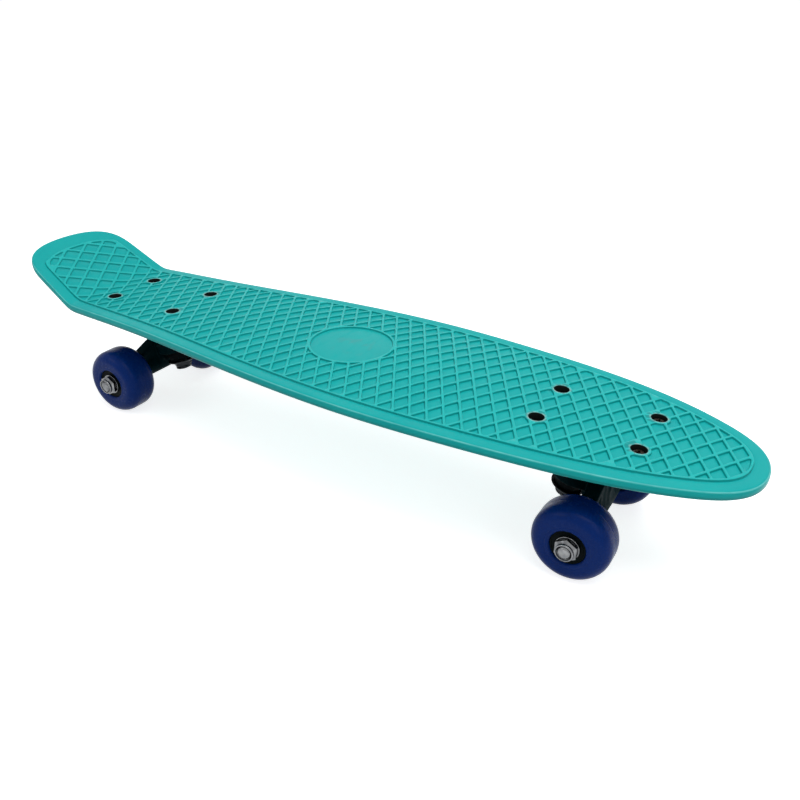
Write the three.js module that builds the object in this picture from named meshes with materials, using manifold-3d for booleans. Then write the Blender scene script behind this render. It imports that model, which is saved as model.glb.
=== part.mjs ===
// Cruiser skateboard: a moulded deck on two steering trucks with four wheels.
// Millimetres. +X points to the nose, +Z up, and the wheels stand on z = 0.
// Each truck is drawn with +X pointing outward, to the nearer end of the board.
import * as THREE from 'three';
import { NURBSCurve } from 'three/addons/curves/NURBSCurve.js';
import { mergeVertices } from 'three/addons/utils/BufferGeometryUtils.js';
import Module from 'manifold-3d';

// Clearances and how far a cutting tool runs past what it cuts.
const fitGap = 0.15;
const seatGap = 0.3;
const overrun = 0.5;
const mergeDistance = 1e-4;

// Deck: outline, section and the shape of its top along the board.
const deckLength = 560;
const deckWidth = 147;
const rimHeight = 7.5;
const rimTopRounding = 1.6;
const rimBottomRounding = 2.8;
const plateThickness = 4;
const skirtThickness = 6.4;
const crownRise = 1.6;
const domeRise = 2.2;
const domeLength = 320;
const domeWidth = 114;
const noseDrop = 2.2;
const noseDropLength = 130;
const kickLength = 58.8;
const kickAngle = THREE.MathUtils.degToRad(28.8);
const kickSoftness = 2;
const kickBlend = 3;
// Control points of one edge from nose to tail: [along the deck, half width] as shares.
const outlineShares = [
  [0, 0], [0, 0.325], [0.06, 0.621], [0.16, 0.842], [0.28, 0.951], [0.42, 1.023], [0.56, 0.95],
  [0.68, 0.831], [0.77, 0.745], [0.885, 0.694], [0.943, 0.643], [1, 0.605], [1, 0],
];
const outlineSteps = 32;
const rimSteps = 2;
const bendStep = 100;

// Raised ribs on the top: round the edge, round the bare oval and the main ones of the lattice.
const ribWidth = 2;
const ribHeight = 1;
const latticePitch = 20;
const latticeLean = THREE.MathUtils.degToRad(30);
const borderWidth = 9.6;
const ovalDiameter = 57;
const ovalPlace = 6.6;
const ovalSides = 36;

// Underside ribs of the deck.
const bellyRibWidth = 2.6;
const bellyRibRise = 1.5;
const bellyRibSpacing = 60;

// Trucks: how far the ends of the deck overhang their middles, and the screws that hold them.
const noseOverhang = 97.8;
const tailOverhang = 108.2;
const truckHeight = 47.3;
const boltSpacingAlong = 61.6;
const boltSpacingAcross = 41.2;
const boltDiameter = 5;
const boltHeadDiameter = 7.8;
const boltHeadHeight = 2.4;
const boltSink = 5;
const boltDriveWidth = 1;
const boltDriveDepth = 1.3;
const boltPocketDiameter = 8.6;
const boltRingDiameter = 12.5;
const boltTail = 1.2;
const deckNutAcross = 8;
const deckNutHeight = 4;
const padMargin = 10;
const padDrop = 1.1;
const padTrim = 2;

// Baseplate.
const baseThickness = 5.8;
const baseMargin = 8.4;
const baseCorner = 8;

// Kingpin stack: the kingpin leans its lower end to the middle of the board.
const kingpinLean = THREE.MathUtils.degToRad(15);
const kingpinDiameter = 8;
const kingpinHeadAcross = 13;
const kingpinHeadHeight = 5.3;
const kingpinTail = 0.8;
const kingpinNutAcross = 13;
const kingpinNutHeight = 5.5;
const yokeInset = 9;
const yokeRise = 17.4;
const yokeDiameter = 31;
const yokeThickness = 8;
const yokePlay = 1.3;
const upperBushingDiameter = 24;
const upperBushingHeight = 10;
const lowerBushingDiameter = 22;
const lowerBushingTip = 18;
const lowerBushingHeight = 8;
const cupWasherThickness = 1.5;
const cupWasherLip = 0.5;
const seatBossWall = 3;
const seatFloor = 6;
const bushingClearance = 2.5;

// Hanger, its pivot nose and the liner the nose turns in.
const barrelDiameter = 15;
const barrelEndGap = 0.8;
const wingThickness = 10;
const wingTopRise = 20;
const wingTopWidth = 24;
const wingEndRise = 12.5;
const pivotReach = 36.5;
const pivotRise = 18.1;
const pivotNoseDiameter = 10;
const pivotNoseLength = 7.6;
const pivotArmDiameter = 13;
const pivotTipShares = [0.5, 0.8];
const gussetInset = 3.3;
const pivotCupWall = 1.6;
const pivotCupFloor = 1.5;
const pivotHousingWall = 3;
const gussetThickness = 9;
const webThickness = 18;

// Axle and wheels.
const axleOffset = 8.5;
const axleDiameter = 8;
const wheelTrack = 112.6;
const wheelDiameter = 49;
const wheelWidth = 26;
const wheelShoulderDepth = 7.5;
const wheelShoulderWidth = 8.6;
const wheelShoulderShares = [0, 0.55, 1];
const wheelSides = 28;
const wheelCoreDiameter = 17;
const hubChamfer = 0.8;
const bearingDiameter = 22;
const bearingWidth = 7;
const bearingSink = 1.3;
const innerRaceDiameter = 12;
const axleWasherDiameter = 15;
const axleWasherThickness = 1;
const axleNutAcross = 13;
const axleNutHeight = 5.1;
const axleNutCollarHeight = 1.8;
const axleNutCollarDiameter = 12.7;
const axleProud = 0.3;
const axleTip = 1;
const axleTipDiameter = 5;

// Places that follow from the sizes above.
const axleHeight = wheelDiameter / 2;
const padHeight = axleHeight + truckHeight;
const plateHeight = padHeight + padDrop + rimHeight;
const baseUnderside = padHeight - baseThickness;
const noseX = deckLength / 2;
const frontTruckX = noseX - noseOverhang;
const rearTruckX = tailOverhang - noseX;
const truckSpacing = frontTruckX - rearTruckX;
const middleX = (frontTruckX + rearTruckX) / 2;
const foldX = kickLength - noseX;
const kickStart = foldX + kickBlend;
const kickEnd = foldX - kickBlend;
const yokeX = -yokeInset;
const yokeZ = axleHeight + yokeRise;
const upward = new THREE.Vector3(0, 0, 1);
const kingpinAxis = new THREE.Vector3(Math.sin(kingpinLean), 0, Math.cos(kingpinLean));
const pivotAxis = new THREE.Vector3(pivotReach, 0, pivotRise).normalize();
const pivotLength = Math.hypot(pivotReach, pivotRise);
const yokeCentre = new THREE.Vector3(yokeX, 0, yokeZ);
const wheelOuter = wheelTrack / 2;
const wheelInner = wheelOuter - wheelWidth;
const barrelHalf = wheelInner - barrelEndGap;
const raceInner = wheelInner + bearingSink;
const raceOuter = wheelOuter - bearingSink;
const padLength = boltSpacingAlong + 2 * padMargin;
const padWidth = boltSpacingAcross + 2 * padMargin;

const lib = await Module();
lib.setup();

// Materials.
function finish(color, roughness, metalness) {
  return new THREE.MeshStandardMaterial({ color, roughness, metalness });
}
const deckPlastic = finish(0x27b5ab, 0.3, 0);
const wheelUrethane = finish(0x0e1a63, 0.28, 0);
const truckPlastic = finish(0x101514, 0.5, 0);
const bushingUrethane = finish(0x1b1d1f, 0.6, 0);
const linerPlastic = finish(0x2b2d2f, 0.5, 0);
const brightZinc = finish(0xc8cbcd, 0.25, 1);
const darkSteel = finish(0x4a4d50, 0.35, 1);
const bearingBlack = finish(0x15181a, 0.4, 0.4);

// Makes a closed geometry into a solid that can be joined and cut.
function solid(geometry) {
  const bare = geometry.clone();
  bare.deleteAttribute('normal');
  bare.deleteAttribute('uv');
  const merged = mergeVertices(bare, mergeDistance);
  const corners = merged.attributes.position;
  const triangles = [];
  const [a, b, c] = [new THREE.Vector3(), new THREE.Vector3(), new THREE.Vector3()];
  let volume = 0;
  for (let i = 0; i < merged.index.count; i += 3) {
    const [p, q, r] = [merged.index.getX(i), merged.index.getX(i + 1), merged.index.getX(i + 2)];
    if (p === q || q === r || r === p) continue;
    triangles.push([p, q, r]);
    a.fromBufferAttribute(corners, p);
    b.fromBufferAttribute(corners, q);
    c.fromBufferAttribute(corners, r);
    volume += a.dot(b.cross(c));
  }
  const wound = volume < 0 ? triangles.map(([p, q, r]) => [p, r, q]) : triangles;
  return new lib.Manifold(new lib.Mesh({
    numProp: 3,
    vertProperties: new Float32Array(corners.array),
    triVerts: new Uint32Array(wound.flat()),
  }));
}

// Gives a solid back as a geometry.
function geometryOf(body) {
  const mesh = body.getMesh();
  const geometry = new THREE.BufferGeometry();
  geometry.setAttribute('position', new THREE.BufferAttribute(new Float32Array(mesh.vertProperties), 3));
  geometry.setIndex(new THREE.BufferAttribute(new Uint32Array(mesh.triVerts), 1));
  geometry.computeVertexNormals();
  return geometry;
}

// Turns a geometry drawn along +Y to lie along a direction, from an origin.
function aimed(geometry, origin, direction) {
  const turn = new THREE.Quaternion().setFromUnitVectors(new THREE.Vector3(0, 1, 0), direction);
  return geometry.clone().applyQuaternion(turn).translate(origin.x, origin.y, origin.z);
}

// Revolves [radius, height] points round +Y, in the order that faces the surface outward.
function revolved(points, sides, firstAngle = 0) {
  const profile = points.map(([r, y]) => new THREE.Vector2(r, y));
  if (THREE.ShapeUtils.area(profile) < 0) profile.reverse();
  return new THREE.LatheGeometry(profile, sides, firstAngle);
}

// A washer or sleeve: a closed ring section round +Y, from low to high.
function ring(inner, outer, low, high, sides) {
  return revolved([[inner, low], [outer, low], [outer, high], [inner, high], [inner, low]], sides);
}

// A round hole round +Y whose flats clear a radius, from low to high.
function bore(radius, low, high, sides) {
  return pin(radius / Math.cos(Math.PI / sides), low, high, sides);
}

// A plain pin round +Y, from low to high.
function pin(radius, low, high, sides) {
  return revolved([[0, low], [radius, low], [radius, high], [0, high]], sides);
}

// A hexagon prism round +Y, stated by the distance across its flats.
function hexagon(across, low, high) {
  return pin(across / 2 / Math.cos(Math.PI / 6), low, high, 6);
}

// A plate of the given outline in X and Z, as thick as stated and centred across Y.
function sidePlate(points, thickness) {
  const shape = new THREE.Shape(points.map(([x, z]) => new THREE.Vector2(x, z)));
  const plate = new THREE.ExtrudeGeometry(shape, { depth: thickness, bevelEnabled: false });
  return plate.rotateX(Math.PI / 2).translate(0, thickness / 2, 0);
}

// A box with its centre at x, y and its faces at low and high.
function block(length, width, x, y, low, high) {
  return new THREE.BoxGeometry(length, width, high - low).translate(x, y, (low + high) / 2);
}

// A post round +Z at x, y.
function post(radius, x, y, low, high, sides) {
  return aimed(pin(radius, low, high, sides), new THREE.Vector3(x, y, 0), upward);
}

// Joins rings of equal point count, [[x, y, z], ...], into one capped body.
function loft(rings) {
  const count = rings[0].length;
  const position = rings.flat(2);
  const index = [];
  for (let k = 0; k + 1 < rings.length; k += 1) {
    for (let i = 0; i < count; i += 1) {
      const j = (i + 1) % count;
      index.push(k * count + i, k * count + j, (k + 1) * count + j);
      index.push(k * count + i, (k + 1) * count + j, (k + 1) * count + i);
    }
  }
  for (const [k, flip] of [[0, true], [rings.length - 1, false]]) {
    const flat = rings[k].map(([x, y]) => new THREE.Vector2(x, y));
    for (const [p, q, r] of THREE.ShapeUtils.triangulateShape(flat, [])) {
      const corners = flip ? [p, r, q] : [p, q, r];
      index.push(...corners.map((corner) => k * count + corner));
    }
  }
  const geometry = new THREE.BufferGeometry();
  geometry.setAttribute('position', new THREE.Float32BufferAttribute(position, 3));
  geometry.setIndex(index);
  return geometry;
}

// The left edge of the deck as a cubic spline through its control shares, from nose to tail.
function edgeCurve() {
  const degree = 3;
  const spans = outlineShares.length - degree;
  const inner = Array.from({ length: spans + 1 }, (_, i) => i / spans);
  const knots = [...Array(degree).fill(0), ...inner, ...Array(degree).fill(1)];
  const controls = outlineShares.map(([along, half]) =>
    new THREE.Vector4(noseX - deckLength * along, (half * deckWidth) / 2, 0, 1));
  return new NURBSCurve(degree, knots, controls);
}

// The deck's outline moved inward by an inset, at a height: nose, left edge, tail, right edge.
const edge = edgeCurve();
function outlineRing(inset, height) {
  const left = [];
  for (let i = 0; i <= outlineSteps; i += 1) {
    const place = edge.getPoint(i / outlineSteps);
    const along = edge.getTangent(i / outlineSteps);
    left.push([place.x - inset * along.y, place.y + inset * along.x, height]);
  }
  const right = left.slice(1, -1).reverse().map(([x, y, z]) => [x, -y, z]);
  return [...left, ...right];
}

// Height of the plate's top at a place along the board.
function plateTop(x) {
  const crown = crownRise * (1 - (x / (truckSpacing / 2)) ** 2);
  const drop = noseDrop * Math.max(0, (x - noseX + noseDropLength) / noseDropLength) ** 2;
  const kick = kickSoftness * Math.log1p(Math.exp((foldX - x) / kickSoftness));
  return plateHeight + crown - drop + Math.tan(kickAngle) * kick;
}

// How far the middle of the deck is domed above its border, at a place.
function dome(x, y) {
  const [along, across] = [(2 * x) / domeLength, (2 * y) / domeWidth];
  return domeRise * Math.max(0, 1 - along ** 4) ** 2 * Math.max(0, 1 - across ** 2);
}

// Cuts every triangle along the plane x = place, so that a bend there has an edge to follow.
function scored(geometry, place) {
  const position = [...geometry.attributes.position.array];
  const index = [];
  const made = new Map();
  const side = (v) => {
    const from = position[3 * v] - place;
    return Math.abs(from) < mergeDistance ? 0 : Math.sign(from);
  };
  const crossing = (v, w) => {
    const key = v < w ? `${v},${w}` : `${w},${v}`;
    if (!made.has(key)) {
      const [p, q] = v < w ? [v, w] : [w, v];
      const share = (place - position[3 * p]) / (position[3 * q] - position[3 * p]);
      for (let k = 0; k < 3; k += 1) {
        position.push(position[3 * p + k] + share * (position[3 * q + k] - position[3 * p + k]));
      }
      made.set(key, position.length / 3 - 1);
    }
    return made.get(key);
  };
  for (let i = 0; i < geometry.index.count; i += 3) {
    const corners = [0, 1, 2].map((k) => geometry.index.getX(i + k));
    const loop = [];
    for (let k = 0; k < 3; k += 1) {
      const [v, w] = [corners[k], corners[(k + 1) % 3]];
      loop.push(v);
      if (side(v) * side(w) < 0) loop.push(crossing(v, w));
    }
    if (loop.length === 3) {
      index.push(...corners);
      continue;
    }
    for (const sign of [-1, 1]) {
      const part = loop.filter((v) => side(v) * sign >= 0);
      for (let k = 1; k + 1 < part.length; k += 1) index.push(part[0], part[k], part[k + 1]);
    }
  }
  const cut = new THREE.BufferGeometry();
  cut.setAttribute('position', new THREE.Float32BufferAttribute(position, 3));
  cut.setIndex(index);
  return cut;
}

// Lifts each corner of a flat deck onto the curve of its top.
function bent(geometry) {
  let shaped = scored(geometry, kickEnd);
  const count = Math.round((noseX - kickStart) / bendStep);
  for (let i = 0; i < count; i += 1) {
    shaped = scored(shaped, kickStart + ((noseX - kickStart) * i) / count);
  }
  const corners = shaped.attributes.position;
  for (let i = 0; i < corners.count; i += 1) {
    const [x, y] = [corners.getX(i), corners.getY(i)];
    corners.setZ(i, corners.getZ(i) + plateTop(x) + dome(x, y));
  }
  return shaped;
}

// Places of the eight deck bolts.
const trucks = [
  { name: 'front', facing: 1, x: frontTruckX },
  { name: 'rear', facing: -1, x: rearTruckX },
];
const boltPlaces = trucks.flatMap(({ name, facing, x }) =>
  [1, -1].flatMap((along) => [1, -1].map((across) => ({
    name: `${name}_${along > 0 ? 'outer' : 'inner'}_${across > 0 ? 'left' : 'right'}`,
    x: x + (facing * along * boltSpacingAlong) / 2,
    y: (across * boltSpacingAcross) / 2,
  }))));

// The main ribs of the lattice, leaning both ways, in step with a crossing at the oval's middle.
function latticeRibs(low, high) {
  const step = latticePitch / Math.cos(latticeLean);
  const length = deckWidth / Math.cos(latticeLean);
  const count = Math.ceil((noseX + (deckWidth / 2) * Math.tan(latticeLean)) / step);
  const ribs = [];
  for (let i = -count; i <= count; i += 1) {
    for (const lean of [latticeLean, -latticeLean]) {
      const rib = block(ribWidth, length, 0, 0, low, high).rotateZ(lean);
      ribs.push(rib.translate(ovalPlace + i * step, 0, 0));
    }
  }
  return lib.Manifold.union(ribs.map(solid));
}

// The raised ribs of the top: the lattice, one round the edge, the bare oval and each bolt.
function topRelief() {
  const [low, high] = [-overrun, ribHeight];
  const area = (inset, past) => solid(loft([low - past, high + past].map((z) => outlineRing(inset, z))));
  const insets = [borderWidth, borderWidth + ribWidth / 2, borderWidth + ribWidth];
  let relief = latticeRibs(low, high).intersect(area(insets[1], overrun));
  relief = relief.add(area(insets[0], 0).subtract(area(insets[2], overrun)));
  const oval = ovalDiameter / 2;
  const places = [{ x: ovalPlace, y: 0, inner: oval, outer: oval + ribWidth, sides: ovalSides }];
  for (const { x, y } of boltPlaces) {
    places.push({ x, y, inner: boltPocketDiameter / 2, outer: boltRingDiameter / 2, sides: 12 });
  }
  for (const { x, y, inner, outer, sides } of places) {
    const bare = post((inner + outer) / 2, x, y, low - overrun, high + overrun, sides);
    const rib = aimed(ring(inner, outer, low, high, sides), new THREE.Vector3(x, y, 0), upward);
    relief = relief.subtract(solid(bare)).add(solid(rib));
  }
  return relief;
}

// Ribs across and along the hollow underside.
function bellyRibs(low, high) {
  const count = Math.floor(deckLength / bellyRibSpacing / 2);
  const ribs = [];
  for (let i = -count; i <= count; i += 1) {
    ribs.push(block(bellyRibWidth, deckWidth, middleX + i * bellyRibSpacing, 0, low, high));
  }
  for (const y of [-boltSpacingAcross / 2, 0, boltSpacingAcross / 2]) {
    ribs.push(block(deckLength, bellyRibWidth, 0, y, low, high));
  }
  return lib.Manifold.union(ribs.map(solid));
}

// The deck, drawn flat with the plate's top at z = 0, then bent, then padded and drilled.
function makeDeck() {
  const rings = [];
  const corners = [
    [rimBottomRounding, rimBottomRounding - rimHeight, -1],
    [rimTopRounding, -rimTopRounding, 0],
  ];
  for (const [radius, centre, quarter] of corners) {
    for (let i = 0; i <= rimSteps; i += 1) {
      const angle = (quarter + i / rimSteps) * (Math.PI / 2);
      rings.push(outlineRing(radius * (1 - Math.cos(angle)), centre + radius * Math.sin(angle)));
    }
  }
  const below = -rimHeight - overrun;
  const hollow = solid(loft([below, -plateThickness].map((z) => outlineRing(skirtThickness, z))));
  const ribs = bellyRibs(bellyRibRise - rimHeight, overrun);
  let flat = solid(loft(rings)).subtract(hollow.subtract(ribs)).add(topRelief());
  for (const { x } of trucks) {
    const foot = -rimHeight - padDrop - padTrim;
    const pad = block(padLength, padWidth, x, 0, foot, overrun - plateThickness);
    flat = flat.add(solid(pad));
  }
  let deck = solid(bent(geometryOf(flat)));
  for (const { x } of trucks) {
    const [length, width] = [padLength + 2 * overrun, padWidth + 2 * overrun];
    deck = deck.subtract(solid(block(length, width, x, 0, padHeight - rimHeight, padHeight)));
  }
  const floor = plateHeight - boltSink;
  const top = plateHeight + crownRise + domeRise + ribHeight + overrun;
  for (const { x, y } of boltPlaces) {
    deck = deck.subtract(solid(post(boltPocketDiameter / 2, x, y, floor, top, 12)));
    deck = deck.subtract(solid(post(boltDiameter / 2 + seatGap, x, y, padHeight - overrun, top, 10)));
  }
  return deck;
}

// A deck bolt with a flat round head, crossed for a driver, along +Y up.
function makeDeckBolt() {
  const seat = plateHeight - boltSink + fitGap;
  const top = seat + boltHeadHeight;
  const end = baseUnderside - fitGap - deckNutHeight - boltTail;
  const [shank, head] = [boltDiameter / 2, boltHeadDiameter / 2];
  const section = [[0, end], [shank, end], [shank, seat], [head, seat], [head, top], [0, top]];
  let bolt = solid(revolved(section, 12));
  for (const [length, width] of [[head, boltDriveWidth], [boltDriveWidth, head]]) {
    const slot = new THREE.BoxGeometry(length, 2 * boltDriveDepth, width).translate(0, top, 0);
    bolt = bolt.subtract(solid(slot));
  }
  return bolt;
}

// A plain hexagon nut along +Y, its top at a height.
function makeNut(across, height, hole, top) {
  const body = solid(hexagon(across, top - height, top));
  return body.subtract(solid(bore(hole, top - height - overrun, top + overrun, 10)));
}

// Distances along the kingpin from the yoke's centre, positive up.
const yokeTop = yokeThickness / 2;
const upperBushingTop = yokeTop + seatGap + upperBushingHeight;
const upperWasherTop = upperBushingTop + seatGap + cupWasherThickness;
const seatFace = upperWasherTop + seatGap;
const headSeat = seatFace + seatFloor;
const lowerBushingEnd = -yokeTop - seatGap - lowerBushingHeight;
const lowerWasherEnd = lowerBushingEnd - seatGap - cupWasherThickness;
const kingpinNutTop = lowerWasherEnd - seatGap;
const kingpinEnd = kingpinNutTop - kingpinNutHeight - kingpinTail;
const pocketRadius = kingpinHeadAcross / 2 / Math.cos(Math.PI / 6) + seatGap;

// Radii and distances along the pivot axis from the yoke's centre.
const cupInside = pivotNoseDiameter / 2 + seatGap;
const cupOutside = cupInside + pivotCupWall;
const housingInside = cupOutside + fitGap;
const housingOutside = housingInside + pivotHousingWall;
const noseStart = pivotLength - pivotNoseLength;
const cupMouth = noseStart + 2 * seatGap;
const cupInnerEnd = pivotLength + seatGap;
const cupEnd = cupInnerEnd + pivotCupFloor;

// The baseplate: a plate with the kingpin's seat boss and the pivot housing under it.
function makeBaseplate() {
  const [halfX, halfY] = [boltSpacingAlong / 2 + baseMargin, boltSpacingAcross / 2 + baseMargin];
  const [x, y, r] = [halfX - baseCorner, halfY - baseCorner, baseCorner];
  const outline = new THREE.Shape();
  outline.absarc(x, y, r, 0, Math.PI / 2);
  outline.absarc(-x, y, r, Math.PI / 2, Math.PI);
  outline.absarc(-x, -y, r, Math.PI, 1.5 * Math.PI);
  outline.absarc(x, -y, r, 1.5 * Math.PI, 2 * Math.PI);
  const flat = { depth: baseThickness, bevelEnabled: false, curveSegments: 4 };
  let base = solid(new THREE.ExtrudeGeometry(outline, flat).translate(0, 0, baseUnderside));
  const boss = pin(pocketRadius + seatBossWall, seatFace, headSeat + seatFloor, 20);
  base = base.add(solid(aimed(boss, yokeCentre, kingpinAxis)));
  const housing = pin(housingOutside, cupMouth, cupEnd + pivotHousingWall, 18);
  base = base.add(solid(aimed(housing, yokeCentre, pivotAxis)));
  base = base.subtract(solid(block(4 * halfX, 4 * halfY, 0, 0, padHeight, 2 * padHeight)));
  const bores = [
    bore(kingpinDiameter / 2 + seatGap, 0, headSeat + overrun, 12),
    bore(pocketRadius, headSeat, headSeat + 2 * baseThickness, 16),
  ].map((cut) => aimed(cut, yokeCentre, kingpinAxis));
  bores.push(aimed(bore(housingInside, noseStart - overrun, cupEnd + fitGap, 16), yokeCentre, pivotAxis));
  for (const along of [-boltSpacingAlong / 2, boltSpacingAlong / 2]) {
    for (const across of [-boltSpacingAcross / 2, boltSpacingAcross / 2]) {
      bores.push(post(boltDiameter / 2 + seatGap, along, across, 0, padHeight + overrun, 12));
    }
  }
  for (const cut of bores) base = base.subtract(solid(cut));
  return base;
}

// The hanger: axle barrel and wings, the yoke round the kingpin, and the arm to the pivot nose.
function makeHanger() {
  const [barrel, race] = [barrelDiameter / 2, innerRaceDiameter / 2];
  const raceEnd = raceInner - fitGap;
  const centre = new THREE.Vector3(axleOffset, 0, axleHeight);
  const along = new THREE.Vector3(0, 1, 0);
  const sleeve = revolved([
    [0, -raceEnd], [race, -raceEnd], [race, -barrelHalf], [barrel, -barrelHalf],
    [barrel, barrelHalf], [race, barrelHalf], [race, raceEnd], [0, raceEnd],
  ], 20);
  let hanger = solid(aimed(sleeve, centre, along));
  const wing = new THREE.Shape([
    [-barrelHalf, 0], [barrelHalf, 0], [barrelHalf, wingEndRise], [wingTopWidth / 2, wingTopRise],
    [-wingTopWidth / 2, wingTopRise], [-barrelHalf, wingEndRise],
  ].map(([y, z]) => new THREE.Vector2(y, axleHeight + z)));
  const wings = new THREE.ExtrudeGeometry(wing, { depth: wingThickness, bevelEnabled: false });
  wings.rotateX(Math.PI / 2).rotateZ(Math.PI / 2).translate(axleOffset - wingThickness / 2, 0, 0);
  hanger = hanger.add(solid(wings));
  const yoke = pin(yokeDiameter / 2, -yokeTop, yokeTop, 20);
  hanger = hanger.add(solid(aimed(yoke, yokeCentre, kingpinAxis)));
  const armEnd = yokeCentre.clone().addScaledVector(pivotAxis, noseStart - gussetInset);
  const [left, right] = [axleOffset - wingThickness / 2, axleOffset + wingThickness / 2];
  const web = [[yokeX, yokeZ], [left, axleHeight], [right, axleHeight], [right, yokeZ]];
  hanger = hanger.add(solid(sidePlate(web, webThickness)));
  const gusset = [[left, axleHeight], [right, axleHeight], [armEnd.x, armEnd.z], [left, yokeZ]];
  hanger = hanger.add(solid(sidePlate(gusset, gussetThickness)));
  const [arm, nose] = [pivotArmDiameter / 2, pivotNoseDiameter / 2];
  const ballCentre = pivotLength - nose;
  const tip = pivotTipShares.map((share) => [nose * Math.sqrt(1 - share ** 2), ballCentre + nose * share]);
  const stem = revolved([
    [0, 0], [arm, 0], [arm, noseStart - seatGap], [nose, noseStart], [nose, ballCentre],
    ...tip, [0, pivotLength],
  ], 16);
  hanger = hanger.add(solid(aimed(stem, yokeCentre, pivotAxis)));
  const above = bore(upperBushingDiameter / 2 + bushingClearance, yokeTop, 2 * seatFace, 18);
  const under = bore(lowerBushingDiameter / 2 + bushingClearance, 2 * kingpinEnd, -yokeTop, 18);
  const hole = bore(kingpinDiameter / 2 + yokePlay, 2 * kingpinEnd, 2 * seatFace, 12);
  const axleBore = bore(axleDiameter / 2 + fitGap, -2 * raceEnd, 2 * raceEnd, 12);
  for (const cut of [above, under, hole]) {
    hanger = hanger.subtract(solid(aimed(cut, yokeCentre, kingpinAxis)));
  }
  return hanger.subtract(solid(aimed(axleBore, centre, along)));
}

// The kingpin with its hexagon head at the top, along +Y.
function makeKingpin() {
  const shank = pin(kingpinDiameter / 2, kingpinEnd, headSeat + overrun, 16);
  const from = headSeat + seatGap;
  return solid(shank).add(solid(hexagon(kingpinHeadAcross, from, from + kingpinHeadHeight)));
}

// A cupped washer from low to high, its lip on the side of the bushing.
function cupWasher(radius, low, high, lipUp) {
  const hole = kingpinDiameter / 2 + fitGap;
  const [inner, outer] = lipUp ? [high - cupWasherLip, high] : [low + cupWasherLip, low];
  const back = lipUp ? low : high;
  return revolved([[hole, back], [radius, back], [radius, outer], [hole, inner], [hole, back]], 18);
}

// A wheel round +Y, cast round two bearing seats with a core between them.
function wheelSection() {
  const [half, radius] = [wheelWidth / 2, wheelDiameter / 2];
  const seat = bearingDiameter / 2 + fitGap;
  const core = half - bearingSink - bearingWidth - fitGap;
  const shoulder = wheelShoulderShares.map((share) => [
    radius - wheelShoulderDepth * (1 - Math.sin((share * Math.PI) / 2)),
    half - wheelShoulderWidth * (1 - Math.cos((share * Math.PI) / 2)),
  ]);
  const side = [[wheelCoreDiameter / 2, core], [seat, core], [seat, half - hubChamfer],
    [seat + hubChamfer, half], ...shoulder];
  const other = side.map(([r, y]) => [r, -y]).reverse();
  return [...side, ...other, side[0]];
}

// A lock nut round +Y: a hexagon with a round collar on its outer end.
function makeLockNut(hole, start) {
  const end = start + axleNutHeight;
  const shoulder = end - axleNutCollarHeight;
  const body = solid(hexagon(axleNutAcross, start, shoulder));
  const collar = solid(pin(axleNutCollarDiameter / 2, shoulder - overrun, end, 12));
  return body.add(collar).subtract(solid(bore(hole, start - overrun, end + overrun, 12)));
}

// Adds a named mesh to a group.
function add(group, name, shape, material) {
  const geometry = shape instanceof THREE.BufferGeometry ? shape : geometryOf(shape);
  const mesh = new THREE.Mesh(geometry, material);
  mesh.name = name;
  group.add(mesh);
  return mesh;
}

// A group whose +Y lies along a direction from an origin.
function axisGroup(parent, origin, direction) {
  const group = new THREE.Group();
  group.position.copy(origin);
  group.quaternion.setFromUnitVectors(new THREE.Vector3(0, 1, 0), direction);
  parent.add(group);
  return group;
}

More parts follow.
